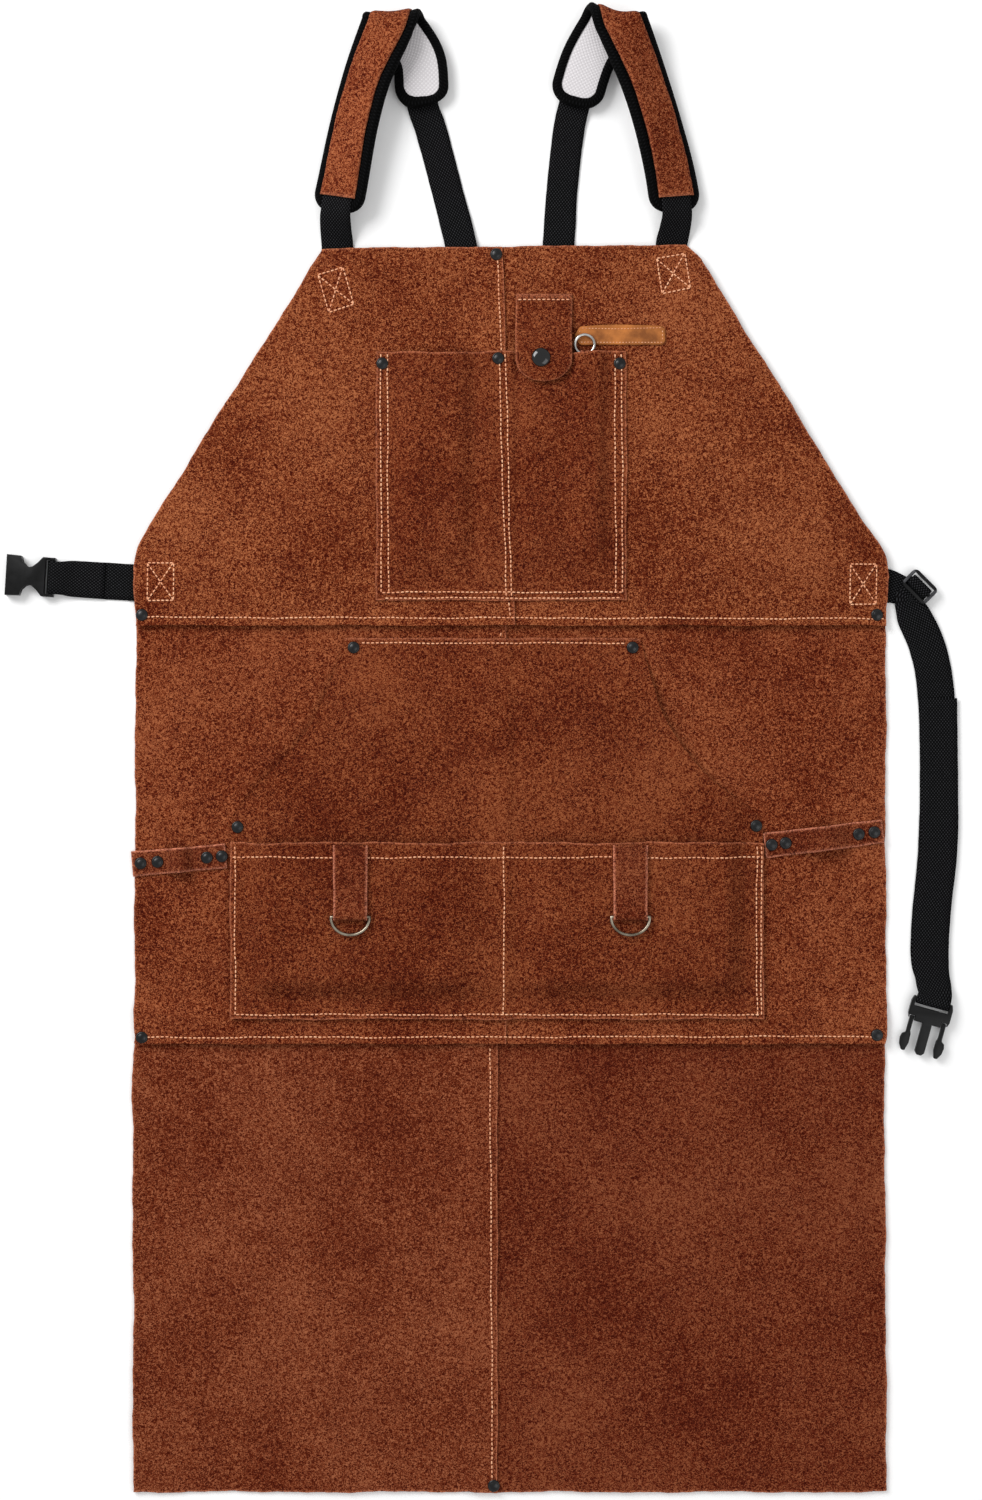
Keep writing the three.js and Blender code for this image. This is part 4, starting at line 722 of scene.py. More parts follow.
# ---- Pockets ----
chest_x = lines(CHEST["left"], CHEST["right"], 2.4, -103, -9, 89)
chest_y = lines(CHEST["bottom"], CHEST["top"], 2.6, 717)
x, y = np.meshgrid(chest_x, chest_y)
v = (y - CHEST["bottom"]) / (CHEST["top"] - CHEST["bottom"])
u = (x - CHEST["left"]) / (CHEST["right"] - CHEST["left"])
x = x + (1 - u) * waver(y, 0.7, 11) + u * waver(y, 0.7, 12)
sag = 2.2 * np.sin(math.pi * (u * 2 % 1)) ** 2
y = y + (1 - v) * waver(x, 0.6, 13) + v * (waver(x, 0.8, 14) - sag)
leather("chest_pocket", x, y, chest_face, POCKET_SUEDE)


def rounded_ramp(y, *points):
    """Straight lines through points, averaged over 26 mm so that their corners turn into curves."""
    return np.mean([ramp(y + offset, *points) for offset in np.linspace(-13, 13, 27)], axis=0)


def hand_left(y):
    """The hand pocket's left edge: upright, then scooped in to its narrower top."""
    return rounded_ramp(
        y, (542, HAND["left"]), (572, -194), (608, -161), (650, -142), (HAND["top"] + 14, -128)
    )


def hand_right(y):
    """The hand pocket's right edge."""
    return rounded_ramp(y, (543, HAND["right"]), (560, 170), (588, 143), (622, 121), (HAND["top"] + 14, 100))


STEADY = 46.0
hand_x = lines(HAND["left"], HAND["right"], 3.0, -5)
hand_y = lines(HAND["bottom"], HAND["top"], 3.0, 679, 683)
x, y = np.meshgrid(hand_x, hand_y)
left_reach = (x + STEADY) / (HAND["left"] + STEADY)
right_reach = (x - STEADY) / (HAND["right"] - STEADY)
x = np.where(
    x < -STEADY, -STEADY + left_reach * (hand_left(y) + STEADY),
    np.where(x > STEADY, STEADY + right_reach * (hand_right(y) - STEADY), x),
)
y = y + (y - HAND["bottom"]) / (HAND["top"] - HAND["bottom"]) * waver(x, 0.7, 17)
leather("hand_pocket", x, y, hand_face, POCKET_SUEDE, raw="t")

tool_x = lines(TOOL["left"], TOOL["right"], 2.8, -219, -5, 198)
tool_y = lines(TOOL["bottom"], TOOL["top"], 2.6, 382, 508)
x, y = np.meshgrid(tool_x, tool_y)
v = (y - TOOL["bottom"]) / (TOOL["top"] - TOOL["bottom"])
u = (x - TOOL["left"]) / (TOOL["right"] - TOOL["left"])
x = x + (1 - u) * waver(y, 0.7, 18) + u * waver(y, 0.7, 19)
y = y + (1 - v) * waver(x, 0.8, 20) + v * waver(x, 1.1, 21)
leather(
    "tool_pocket", x, y, tool_face, POCKET_SUEDE
)


# ---- Hammer loops ----
LOOPS = {
    "left": {"from": (-302.0, 502.5), "to": (-227.0, 509.0), "flat": 24.0},
    "right": {"from": (203.5, 517.2), "to": (298.0, 528.8), "flat": 24.0},
}
LOOP_WIDTH = 19.5
LOOP_LEATHER = 1.6
LOOP_BOW = 8.0


def loop_face(x, y):
    """Upper face of a hammer loop's flat ends."""
    return PLY + LOOP_LEATHER + drape(x, y)


def loop_rise(s, length, flat):
    """Bow of a hammer loop: flat under its rivets, a rounded arch in between."""
    t = np.clip((s - flat - 2) / (length - 2 * flat - 4), 0, 1)
    return LOOP_BOW * np.sin(math.pi * t) ** 1.3


for side, loop in LOOPS.items():
    start, end = np.array(loop["from"]), np.array(loop["to"])
    length = np.linalg.norm(end - start)
    along = (end - start) / length
    s, across = np.meshgrid(np.linspace(0, length, 60), np.linspace(-LOOP_WIDTH / 2, LOOP_WIDTH / 2, 12))
    across = across + waver(s, 0.5, 22) * np.sign(across)
    x = start[0] + along[0] * s - along[1] * across
    y = start[1] + along[1] * s + along[0] * across
    rise = loop_rise(s, length, loop["flat"])
    leather(
        f"hammer_loop_{side}", x, y, lambda a, b, rise=rise: loop_face(a, b) + rise, TRIM_SUEDE,
        thickness=LOOP_LEATHER,
    )

# ---- Snap flap ----
FLAP = {"left": 4.4, "right": 49.4, "top": 957.6, "bottom": 887.0, "round": 18.0}
SNAP = (24.6, 906.0)


def flap_face(x, y):
    """Upper face of the snap flap: flat where it is sewn, lifted over the pocket's mouth."""
    crease = 0.35 * swell(x, y, 40, 9) * ease(y, (945, 1), (953, 0))
    return 3 * PLY + LEATHER + ease(y, (915, FLAP_LIFT), (947, 0)) + crease


s, across = np.meshgrid(np.linspace(0, 1, 44) ** 0.75, np.linspace(-1, 1, 26))
y = FLAP["top"] + (FLAP["bottom"] - FLAP["top"]) * s
above = y - FLAP["bottom"]
half = (FLAP["right"] - FLAP["left"]) / 2
share = np.sqrt(np.clip(1 - (1 - np.minimum(above / FLAP["round"], 1)) ** 2, 0.0006, 1))
x = (FLAP["left"] + FLAP["right"]) / 2 + across * half * share + waver(y, 0.4, 23)
leather("snap_flap", x, y, flap_face, POCKET_SUEDE, body="flap")


# ---- Turned pieces ----
def turned(name, profile, places, look, body="apron", stands_for=(), sides=28):
    """Turned pieces, one at each place: the (radius, height) profile carried round an upright axis,
    with its first and last points on the axis."""
    profile = np.array(profile, float)
    places = np.array(places, float).reshape(-1, 3)
    angle = np.linspace(0, 2 * math.pi, sides, endpoint=False)
    ring = profile[1:-1]
    circle = np.stack([np.cos(angle), np.sin(angle)], axis=-1)
    heights = np.broadcast_to(ring[:, None, 1:], (len(ring), sides, 1))
    rings = np.concatenate([ring[:, None, :1] * circle[None, :, :], heights], axis=-1).reshape(-1, 3)
    one = np.concatenate([rings, [[0, 0, profile[0, 1]], [0, 0, profile[-1, 1]]]])
    quads = grid_quads(len(ring), sides, wrap_columns=True)
    fans = end_fans(sides, (len(ring) - 1) * sides, len(one) - 2, len(one) - 1)
    offset = np.arange(len(places))[:, None, None] * len(one)
    points = (one[None] + places[:, None, :]).reshape(-1, 3)
    return piece(
        name, points, (quads[None] + offset).reshape(-1, 4), look, body,
        triangles=(fans[None] + offset).reshape(-1, 3), stands_for=stands_for,
    )


def on_loop(side, distance):
    """The point that far along a hammer loop's middle line."""
    start, end = (np.array(LOOPS[side][k]) for k in ("from", "to"))
    return start + (end - start) / np.linalg.norm(end - start) * distance


RIVETS = {
    "rivet_bib_top": (-11, 989, bib_top), "rivet_chest_left": (-102, 902, chest_face),
    "rivet_chest_middle": (-9.5, 906, chest_face), "rivet_chest_right": (87.5, 902, chest_face),
    "rivet_waist_left": (-294, 701.5, bib_top), "rivet_waist_right": (293, 701.5, bib_top),
    "rivet_hand_top_left": (-125, 675.5, hand_face), "rivet_hand_top_right": (98, 675.5, hand_face),
    "rivet_hand_side_left": (-217.7, 532, hand_face), "rivet_hand_side_right": (196.7, 533, hand_face),
    "rivet_seam_left": (-294, 364, middle_top), "rivet_seam_right": (293, 366, middle_top),
    "rivet_hem": (-13, 6, skirt_top),
}


for side, distances in {"left": (7, 20.5, 60, 72), "right": (5.6, 16.8, 75.5, 88)}.items():
    for count, distance in enumerate(distances, 1):
        RIVETS[f"rivet_{side}_loop_{count}"] = (*on_loop(side, distance), loop_face)

rivet_places = [
    (x, y, float(face(np.array([x], float), np.array([y], float))[0])) for x, y, face in RIVETS.values()
]
turned(
    "rivets",
    [(0, -1.6), (1.6, -1.6), (1.6, 0.05), (4.5, 0.05), (4.8, 0.3), (4.85, 0.7), (4.65, 1.1), (4.2, 1.45),
     (3.7, 1.55), (3.3, 1.4), (3.0, 1.5), (2.2, 1.85), (1.0, 2.1), (0, 2.15)],
    rivet_places, BLACK_METAL, stands_for=list(RIVETS),
)

flap_top = 3 * PLY + FLAP_LIFT + LEATHER
snap_x, snap_y = SNAP
turned(
    "snap_cap",
    [(0, flap_top - 2.2), (1.6, flap_top - 2.2), (1.6, flap_top + 0.1), (7.0, flap_top + 0.1),
     (7.45, flap_top + 0.5), (7.5, flap_top + 0.9), (7.2, flap_top + 1.5), (6.3, flap_top + 2.2),
     (5.0, flap_top + 2.75), (3.4, flap_top + 3.1), (1.7, flap_top + 3.3), (0, flap_top + 3.35)],
    [(snap_x, snap_y, 0)], GLOSS_BLACK, body="flap", stands_for=["snap_cap"], sides=40,
)
socket_top = flap_top - LEATHER - 0.2


def ring_of(name, section, place, look, body, stands_for, sides=36):
    """A closed (radius, height) section carried round an upright axis."""
    section = np.array(section, float)
    angle = np.linspace(0, 2 * math.pi, sides, endpoint=False)
    x = place[0] + section[:, None, 0] * np.cos(angle)
    y = place[1] + section[:, None, 0] * np.sin(angle)
    z = np.broadcast_to(section[:, None, 1], x.shape)
    quads = grid_quads(len(section), sides, wrap_rows=True, wrap_columns=True)
    return piece(name, np.stack([x, y, z], axis=-1), quads, look, body, stands_for=stands_for)


ring_of(
    "snap_socket",
    [(2.7, socket_top - 1.5), (3.1, socket_top - 1.7), (4.6, socket_top - 1.7), (5.0, socket_top - 1.3),
     (5.0, socket_top - 0.2), (4.8, socket_top), (2.9, socket_top), (2.7, socket_top - 0.2)],
    SNAP, STEEL, "flap", ["snap_socket"],
)
stud_seat = 3 * PLY + SNAP_PUFF + LEATHER
turned(
    "snap_stud",
    [(0, stud_seat - LEATHER - 1), (5, stud_seat - LEATHER - 1), (5, stud_seat - LEATHER - 0.3),
     (1.6, stud_seat - LEATHER - 0.3), (1.6, stud_seat + 0.3), (2.1, stud_seat + 0.8), (2.2, stud_seat + 1.6),
     (1.7, socket_top - 1.5), (0, socket_top - 1.2)],
    [(snap_x, snap_y, 0)], STEEL, stands_for=["snap_stud"],
)

# ---- Label ----
LABEL = {"left": 53.8, "bottom": 917.0, "length": 70.0, "width": 16.0, "thickness": 1.2, "corner": 3.5}


def label_face(x, y):
    """Upper face of the label, which lies flat on the bib."""
    return 3 * PLY + LABEL["thickness"] + 0 * x


s, across = np.meshgrid(np.linspace(0, 1, 60), np.linspace(0, 1, 16))
arch = 1.5 * (2 * s - 1) ** 2
from_end = np.minimum(s, 1 - s) * LABEL["length"]
corner = LABEL["corner"] * np.maximum(0, 1 - from_end / LABEL["corner"]) ** 2
x = LABEL["left"] + LABEL["length"] * s - 2.6 * (1 - np.abs(2 * across - 1)) * (1 - s) ** 9
y = LABEL["bottom"] + corner * 0.8 + (LABEL["width"] - arch - corner * 1.6) * across + waver(x, 0.25, 24)
leather(
    "label", x, y, label_face, LABEL_LEATHER,
    thickness=LABEL["thickness"],
)


# ---- Wires and folded strips ----
def closed_wire(path, radius, sides=12):
    """Points and quads of a wire joined end to end: circles of the given radius set square to the path."""
    path = np.asarray(path, float)
    tangent = np.roll(path, -1, axis=0) - np.roll(path, 1, axis=0)
    tangent /= np.linalg.norm(tangent, axis=1, keepdims=True)
    up = np.broadcast_to([0.0, 0.0, 1.0], path.shape)
    across = np.cross(tangent, up)
    across /= np.linalg.norm(across, axis=1, keepdims=True)
    lift = np.cross(across, tangent)
    angle = np.linspace(0, 2 * math.pi, sides, endpoint=False)
    points = (
        path[:, None] + radius * np.cos(angle)[None, :, None] * across[:, None]
        + radius * np.sin(angle)[None, :, None] * lift[:, None]
    )
    quads = grid_quads(len(path), sides, wrap_rows=True, wrap_columns=True)
    return points.reshape(-1, 3), quads


def corners_of(node_name):
    """A CAD node's lowest and highest corners, in millimetres on the apron's grid."""
    low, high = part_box(node_name)
    return np.array(low) * 1000 - SHIFT, np.array(high) * 1000 - SHIFT


CHEST_WIRE = 1.25
ring_low, ring_high = corners_of("chest_ring")
ring_middle = (ring_low + ring_high) / 2
angle = np.linspace(0, 2 * math.pi, 64, endpoint=False)
ring_radius = (ring_high[0] - ring_low[0]) / 2 - CHEST_WIRE
path = np.stack(
    [ring_middle[0] + ring_radius * np.cos(angle), ring_middle[1] + ring_radius * np.sin(angle),
     np.full(64, ring_middle[2])], axis=-1,
)
points, quads = closed_wire(path, 1.2)
piece("chest_ring", points, quads[:, ::-1], STEEL, "chest_ring", stands_for=["chest_ring"])


def rounded_run(points, reach, steps=5):
    """A polyline with each corner replaced by a short curve that starts reach before it."""
    points = np.asarray(points, float)
    before, at, after = points[:-2], points[1:-1], points[2:]
    enter, leave = before - at, after - at
    enter_length = np.linalg.norm(enter, axis=1, keepdims=True)
    leave_length = np.linalg.norm(leave, axis=1, keepdims=True)
    a = at + enter / enter_length * np.minimum(reach, enter_length * 0.45)
    b = at + leave / leave_length * np.minimum(reach, leave_length * 0.45)
    t = np.linspace(0, 1, steps)[None, :, None]
    curve = (1 - t) ** 2 * a[:, None] + 2 * t * (1 - t) * at[:, None] + t**2 * b[:, None]
    return np.concatenate([points[:1], curve.reshape(-1, points.shape[1]), points[-1:]])


def arc(y, z, radius, start, end, steps=11):
    """Points of an arc in the upright plane along the apron."""
    angle = np.radians(np.linspace(start, end, steps))
    return np.stack([y + radius * np.cos(angle), z + radius * np.sin(angle)], axis=-1)


def folded_strip(name, run, middle, half, thickness, look, stands_for, columns):
    """A strip of leather bent along run, a line of (y, z) points, and level across its width."""
    run = np.asarray(run, float)
    direction = np.gradient(run, axis=0)
    direction /= np.linalg.norm(direction, axis=1, keepdims=True)
    normal = np.stack([-direction[:, 1], direction[:, 0]], axis=-1)
    across = np.linspace(-1, 1, columns)
    x = middle + half * across[None, :] + waver(run[:, :1] + 0 * across, 0.35, 30) * across
    sides = []
    for level in (thickness / 2, -thickness / 2):
        line = run + normal * level
        y, z = (np.repeat(line[:, k : k + 1], columns, 1) for k in (0, 1))
        sides.append(np.stack([x, y, z], axis=-1))
    points, quads = closed_sheet(*sides)
    edge = np.exp(-((half * (1 - np.abs(np.broadcast_to(across, x.shape))) / 0.9) ** 2))
    return piece(
        name, points, quads, look, stands_for=stands_for, edge=np.concatenate([edge.ravel()] * 2)
    )


KEEPER_LENGTH = 19.0
KEEPER_HALF = 3.0
KEEPER_LEATHER = 1.0
wire_y = ring_low[1] + CHEST_WIRE
keeper_z = 3 * PLY + GAP + KEEPER_LEATHER / 2
keeper_radius = CHEST_WIRE + 0.9 + KEEPER_LEATHER / 2
keeper_run = np.concatenate(
    [
        [[wire_y - KEEPER_LENGTH, keeper_z], [wire_y - 3, keeper_z]],
        arc(wire_y, keeper_z + keeper_radius, keeper_radius, -90, 90),
        [[wire_y - 5, keeper_z + keeper_radius + 1.6], [wire_y - 11, keeper_z + 1.6],
         [wire_y - KEEPER_LENGTH, keeper_z + 1.3]],
    ]
)
folded_strip(
    "ring_keeper", keeper_run, ring_middle[0], KEEPER_HALF, KEEPER_LEATHER, TRIM_SUEDE,
    ["ring_keeper"], 6,
)

TAB_TOP = 518.0
TAB_HALF = 13.6
TAB_LEATHER = 1.2
RING_BAR_Y = 461.0
RING_HALF = 15.3
RING_DROP = 14.3
RING_WIRE = 1.25
tab_face = 2 * PLY + HAND_PUFF + TOOL_PUFF + LEATHER
tab_z = tab_face + GAP + TAB_LEATHER / 2
tab_radius = 1.2 + 0.4 + TAB_LEATHER / 2
bar_z = tab_z + tab_radius
for side, middle in RING_TABS.items():
    run = np.concatenate(
        [
            [[TAB_TOP, tab_z], [500, tab_z], [482, tab_z], [RING_BAR_Y + 3, tab_z]],
            arc(RING_BAR_Y, bar_z, tab_radius, -90, -270),
            rounded_run([[RING_BAR_Y + 3, bar_z + tab_radius - 0.1], [RING_BAR_Y + 14, tab_z + 1.9],
                         [RING_BAR_Y + 30, tab_z + 1.5], [TAB_TOP, tab_z + 1.5]], 6),
        ]
    )
    folded_strip(
        f"ring_tab_{side}", run, middle, TAB_HALF, TAB_LEATHER, TRIM_SUEDE, [f"ring_tab_{side}"], 14
    )
    t = np.linspace(0, math.pi, 40)
    bow = np.stack([-RING_HALF * np.cos(t), -RING_DROP * np.sin(t) ** 0.92, 0 * t], axis=-1)
    bar = np.stack([np.linspace(RING_HALF, -RING_HALF, 26)[1:-1], np.zeros(24), np.zeros(24)], axis=-1)
    loop_path = np.concatenate([bow, bar]) + [middle, RING_BAR_Y, bar_z]
    points, quads = closed_wire(loop_path, RING_WIRE)
    piece(f"d_ring_{side}", points, quads[:, ::-1], ANTIQUE, f"d_ring_{side}",
          stands_for=[f"d_ring_{side}"])


# ---- Straps ----
def catmull(points, t, centripetal):
    """Points on a Catmull-Rom curve at t, whose whole part counts the curve's spans."""
    points = np.asarray(points, float)
    span = np.clip(t.astype(int), 0, len(points) - 2)
    k = (t - span)[:, None]
    padded = np.concatenate([[2 * points[0] - points[1]], points, [2 * points[-1] - points[-2]]])
    p0, p1, p2, p3 = (padded[span + i] for i in range(4))
    if centripetal:
        d0, d1, d2 = (
            np.maximum(np.sum((b - a) ** 2, axis=1, keepdims=True) ** 0.25, 1e-4)
            for a, b in ((p0, p1), (p1, p2), (p2, p3))
        )
        m1 = ((p1 - p0) / d0 - (p2 - p0) / (d0 + d1) + (p2 - p1) / d1) * d1
        m2 = ((p2 - p1) / d1 - (p3 - p1) / (d1 + d2) + (p3 - p2) / d2) * d1
    else:
        m1, m2 = (p2 - p0) * 0.5, (p3 - p1) * 0.5
    cubic = 2 * p1 - 2 * p2 + m1 + m2
    square = -3 * p1 + 3 * p2 - 2 * m1 - m2
    return cubic * k**3 + square * k**2 + m1 * k + p1


def strap_frames(route, half_width, step):
    """Middle line, directions across, normals and lengths along a strap's route of
    (x, y, z, across x, across y, across z) points."""
    route = np.array(route, float)
    spans = np.linalg.norm(np.diff(route[:, :3], axis=0), axis=1)
    counts = np.maximum(2, np.ceil(spans / step).astype(int))
    t = np.concatenate([i + np.arange(n) / n for i, n in enumerate(counts)] + [[len(route) - 1.0]])
    span = np.clip(t.astype(int), 0, len(route) - 2)
    middle = catmull(route[:, :3], t, True)
    low = np.minimum(route[span, 2], route[span + 1, 2])
    high = np.maximum(route[span, 2], route[span + 1, 2])
    middle[:, 2] = np.clip(middle[:, 2], low, high)
    across = catmull(route[:, 3:], t, False)
    tangent = np.gradient(middle, axis=0)
    tangent /= np.linalg.norm(tangent, axis=1, keepdims=True)
    size = np.linalg.norm(across, axis=1, keepdims=True)
    width = np.where(size > 2, size, half_width)
    across = across - tangent * np.sum(across * tangent, axis=1, keepdims=True)
    across /= np.linalg.norm(across, axis=1, keepdims=True)
    normal = np.cross(across, tangent)
    s = np.concatenate([[0], np.cumsum(np.linalg.norm(np.diff(middle, axis=0), axis=1))])
    return {"t": t, "middle": middle, "across": across, "width": width[:, 0], "normal": normal, "s": s}


def frames_at(frames, s):
    """Frames read off at the given lengths."""
    part = {
        key: np.stack([np.interp(s, frames["s"], frames[key][:, k]) for k in range(3)], axis=-1)
        for key in ("middle", "across", "normal")
    }
    part["width"] = np.interp(s, frames["s"], frames["width"])
    part["s"] = s
    return part


def cut_frames(frames, start, end, count):
    """The same strap between two lengths, at count even steps, with its length counted from start."""
    part = frames_at(frames, np.linspace(start, end, count))
    part["s"] = part["s"] - start
    return part


WEBBING = 1.2
UV_START = 50.0  # keeps the lengths across a strip above zero


def flat_lengths(reach, s):
    """A strip's own lengths at every point: across it from reach, and along it from s."""
    return np.stack(np.broadcast_arrays(reach + UV_START, s[:, None]), axis=-1).reshape(-1, 2)


def strap(name, frames):
    """Flat webbing along its frames: a closed ribbon, a little thinner at its woven edges."""
    across = np.linspace(-1, 1, 7)
    half = frames["width"][:, None] + 0.25 * waver(frames["s"], 1.0, 40)[:, None]
    reach = across[None, :] * half
    full = WEBBING / 2 * (1 - 0.35 * across**8)
    sides = [
        frames["middle"][:, None] + frames["across"][:, None] * reach[..., None]
        + frames["normal"][:, None] * (sign * full)[None, :, None]
        for sign in (1, -1)
    ]
    points, quads = closed_sheet(sides[0][:, ::-1], sides[1][:, ::-1])
    lengths = flat_lengths(reach[:, ::-1], frames["s"])
    made = piece(
        name, points, quads, WEBBING_WEAVE, stands_for=[name], uv=np.concatenate([lengths] * 2)
    )
    return made


def angled(degrees, lift=0.0):
    """The direction across a strap, turned from +x and with its far end lifted."""
    turn, rise = math.radians(degrees), math.radians(lift)
    return math.cos(turn) * math.cos(rise), math.sin(turn) * math.cos(rise), math.sin(rise)


SHOULDER_HALF = 12.5
ROUTE_STEP = 3.0
LOWER_Z = 0.9
UPPER_Z = 2.4
BACK_Z = 2.8
FRONT_Z = 13.6
FOLD_TOP = 25.6
FOLD_BOTTOM = 5.6
FOLD_STEPS = 12


def fold_points(x, y, dx, head, crease, tail, lift):
    """Route points of a pad's fold: half a circle on edge, carried sideways by dx while its width
    turns from head past crease to tail."""
    route = []
    for k in np.arange(FOLD_STEPS + 1) / FOLD_STEPS:
        radius, level = (FOLD_TOP - FOLD_BOTTOM) / 2, (FOLD_TOP + FOLD_BOTTOM) / 2
        turn = math.pi * (k - 0.5)
        lean = (head + (crease - head) * k) * (1 - k) + (crease + (tail - crease) * k) * k
        place = (x + dx * k, y + radius * math.cos(turn), level - radius * math.sin(turn))
        route.append((*place, *angled(lean, lift * max(0, 1 - 2 * k))))
    return route


def over_bib(distance):
    """A height counted from the bib's upper edge."""
    return BIB_TOP + distance


def under_bib(side, k):
    """A point under the bib, from the straps' crossing (k = 0) to a waist corner (k = 1)."""
    return side * (30 + (HALF_WIDTH - 41) * k), over_bib(-110) + (728 - over_bib(-110)) * k


SHOULDER_ROUTES = {
    "left": [
        (-139, over_bib(-49), LOWER_Z, *angled(0)), (-138, over_bib(1), LOWER_Z, *angled(0)),
        (-139, over_bib(14), FRONT_Z / 2, *angled(0, 8)), (-139, over_bib(26), FRONT_Z, *angled(0, 16)),
        (-134, over_bib(55), FRONT_Z + 2, *angled(-8, 22)),
        (-125.5, over_bib(99), FRONT_Z + 3.8, *angled(-14, 28)),
        (-114.5, over_bib(137), FRONT_Z + 6.6, *angled(-22, 26)),
        *fold_points(-98, over_bib(173.5), 10, -28, 19, 18, 8),
        (-73, over_bib(149), BACK_Z + 0.8, *angled(16)), (-69.5, over_bib(112.5), BACK_Z, *angled(6)),
        (-64, over_bib(97), LOWER_Z + 0.5, *angled(10)), (-50, over_bib(45), LOWER_Z, *angled(14)),
        (-39, over_bib(1), UPPER_Z, *angled(12)), (-32, over_bib(-40), UPPER_Z, *angled(16)),
        (-12, over_bib(-80), UPPER_Z, *angled(42)), (*under_bib(1, 0), UPPER_Z, *angled(56)),
        (*under_bib(1, 0.5), UPPER_Z, *angled(58)), (*under_bib(1, 1), UPPER_Z, *angled(58)),
    ],
    "right": [
        (131, over_bib(-49), LOWER_Z, *angled(0)), (129, over_bib(1), LOWER_Z, *angled(0)),
        (131.5, over_bib(14), FRONT_Z / 2, *angled(0, -8)), (133, over_bib(26), FRONT_Z, *angled(4, -16)),
        (129.5, over_bib(55), FRONT_Z + 2, *angled(11, -22)),
        (119.5, over_bib(97), FRONT_Z + 3.8, *angled(16, -28)),
        (107, over_bib(135), FRONT_Z + 6.6, *angled(22, -26)),
        *fold_points(90, over_bib(174), -14, 28, -42, -22, -10),
        (62, over_bib(149), BACK_Z + 0.8, *angled(-20)), (51, over_bib(112.5), BACK_Z, *angled(-10)),
        (47.5, over_bib(97), LOWER_Z + 0.5, *angled(-6)), (41.5, over_bib(45), LOWER_Z, *angled(-4)),
        (38.5, over_bib(1), LOWER_Z, *angled(-8)), (32, over_bib(-40), LOWER_Z, *angled(-16)),
        (12, over_bib(-80), LOWER_Z, *angled(-42)), (*under_bib(-1, 0), LOWER_Z, *angled(-56)),
        (*under_bib(-1, 0.46), LOWER_Z, *angled(-58)), (*under_bib(-1, 0.74), UPPER_Z, *angled(-58)),
        (*under_bib(-1, 1), UPPER_Z, *angled(-58)),
    ],
}
PAD_FIRST = 3
PAD_LAST = 9 + FOLD_STEPS
PAD_HALF = 21.0
PAD_CORNER = 16.0
CUSHION_INSET = 4.2
CUSHION_SIDES = 36
LINING_INSET = 5.2
BINDING_WIDTH = 7.0
STRIP_START = 13.0
STRIP_END = 8.0
STRIP_HALF = 14.6


def pad_surface(frames, reach, height):
    """Points of a pad at across distances reach and heights above the webbing, both as grids."""
    return (
        frames["middle"][:, None] + frames["across"][:, None] * reach[..., None]
        + frames["normal"][:, None] * height[..., None]
    )


def end_rounding(s, length, corner):
    """Share of the half width left near a pad's rounded ends, 1 along its sides."""
    near = np.clip(np.minimum(s, length - s) / corner, 0, 1)
    return np.sqrt(np.maximum(0, 1 - (1 - near) ** 2))


def pad_half(s, length, inset):
    """A pad's half width at s, inset from its outline, with quarter-circle corners."""
    reach = PAD_CORNER - inset
    near = np.clip((np.minimum(s, length - s) - inset) / reach, 0, 1)
    return PAD_HALF - PAD_CORNER + reach * np.sqrt(np.maximum(0, 1 - (1 - near) ** 2))


def even_ends(start, end, count):
    """Stations from start to end, closer together towards both ends."""
    t = np.linspace(0, math.pi, count)
    middle = np.linspace(0, 1, count)
    mixed = 0.35 * (1 - np.cos(t)) / 2 + 0.65 * middle
    return start + (end - start) * mixed


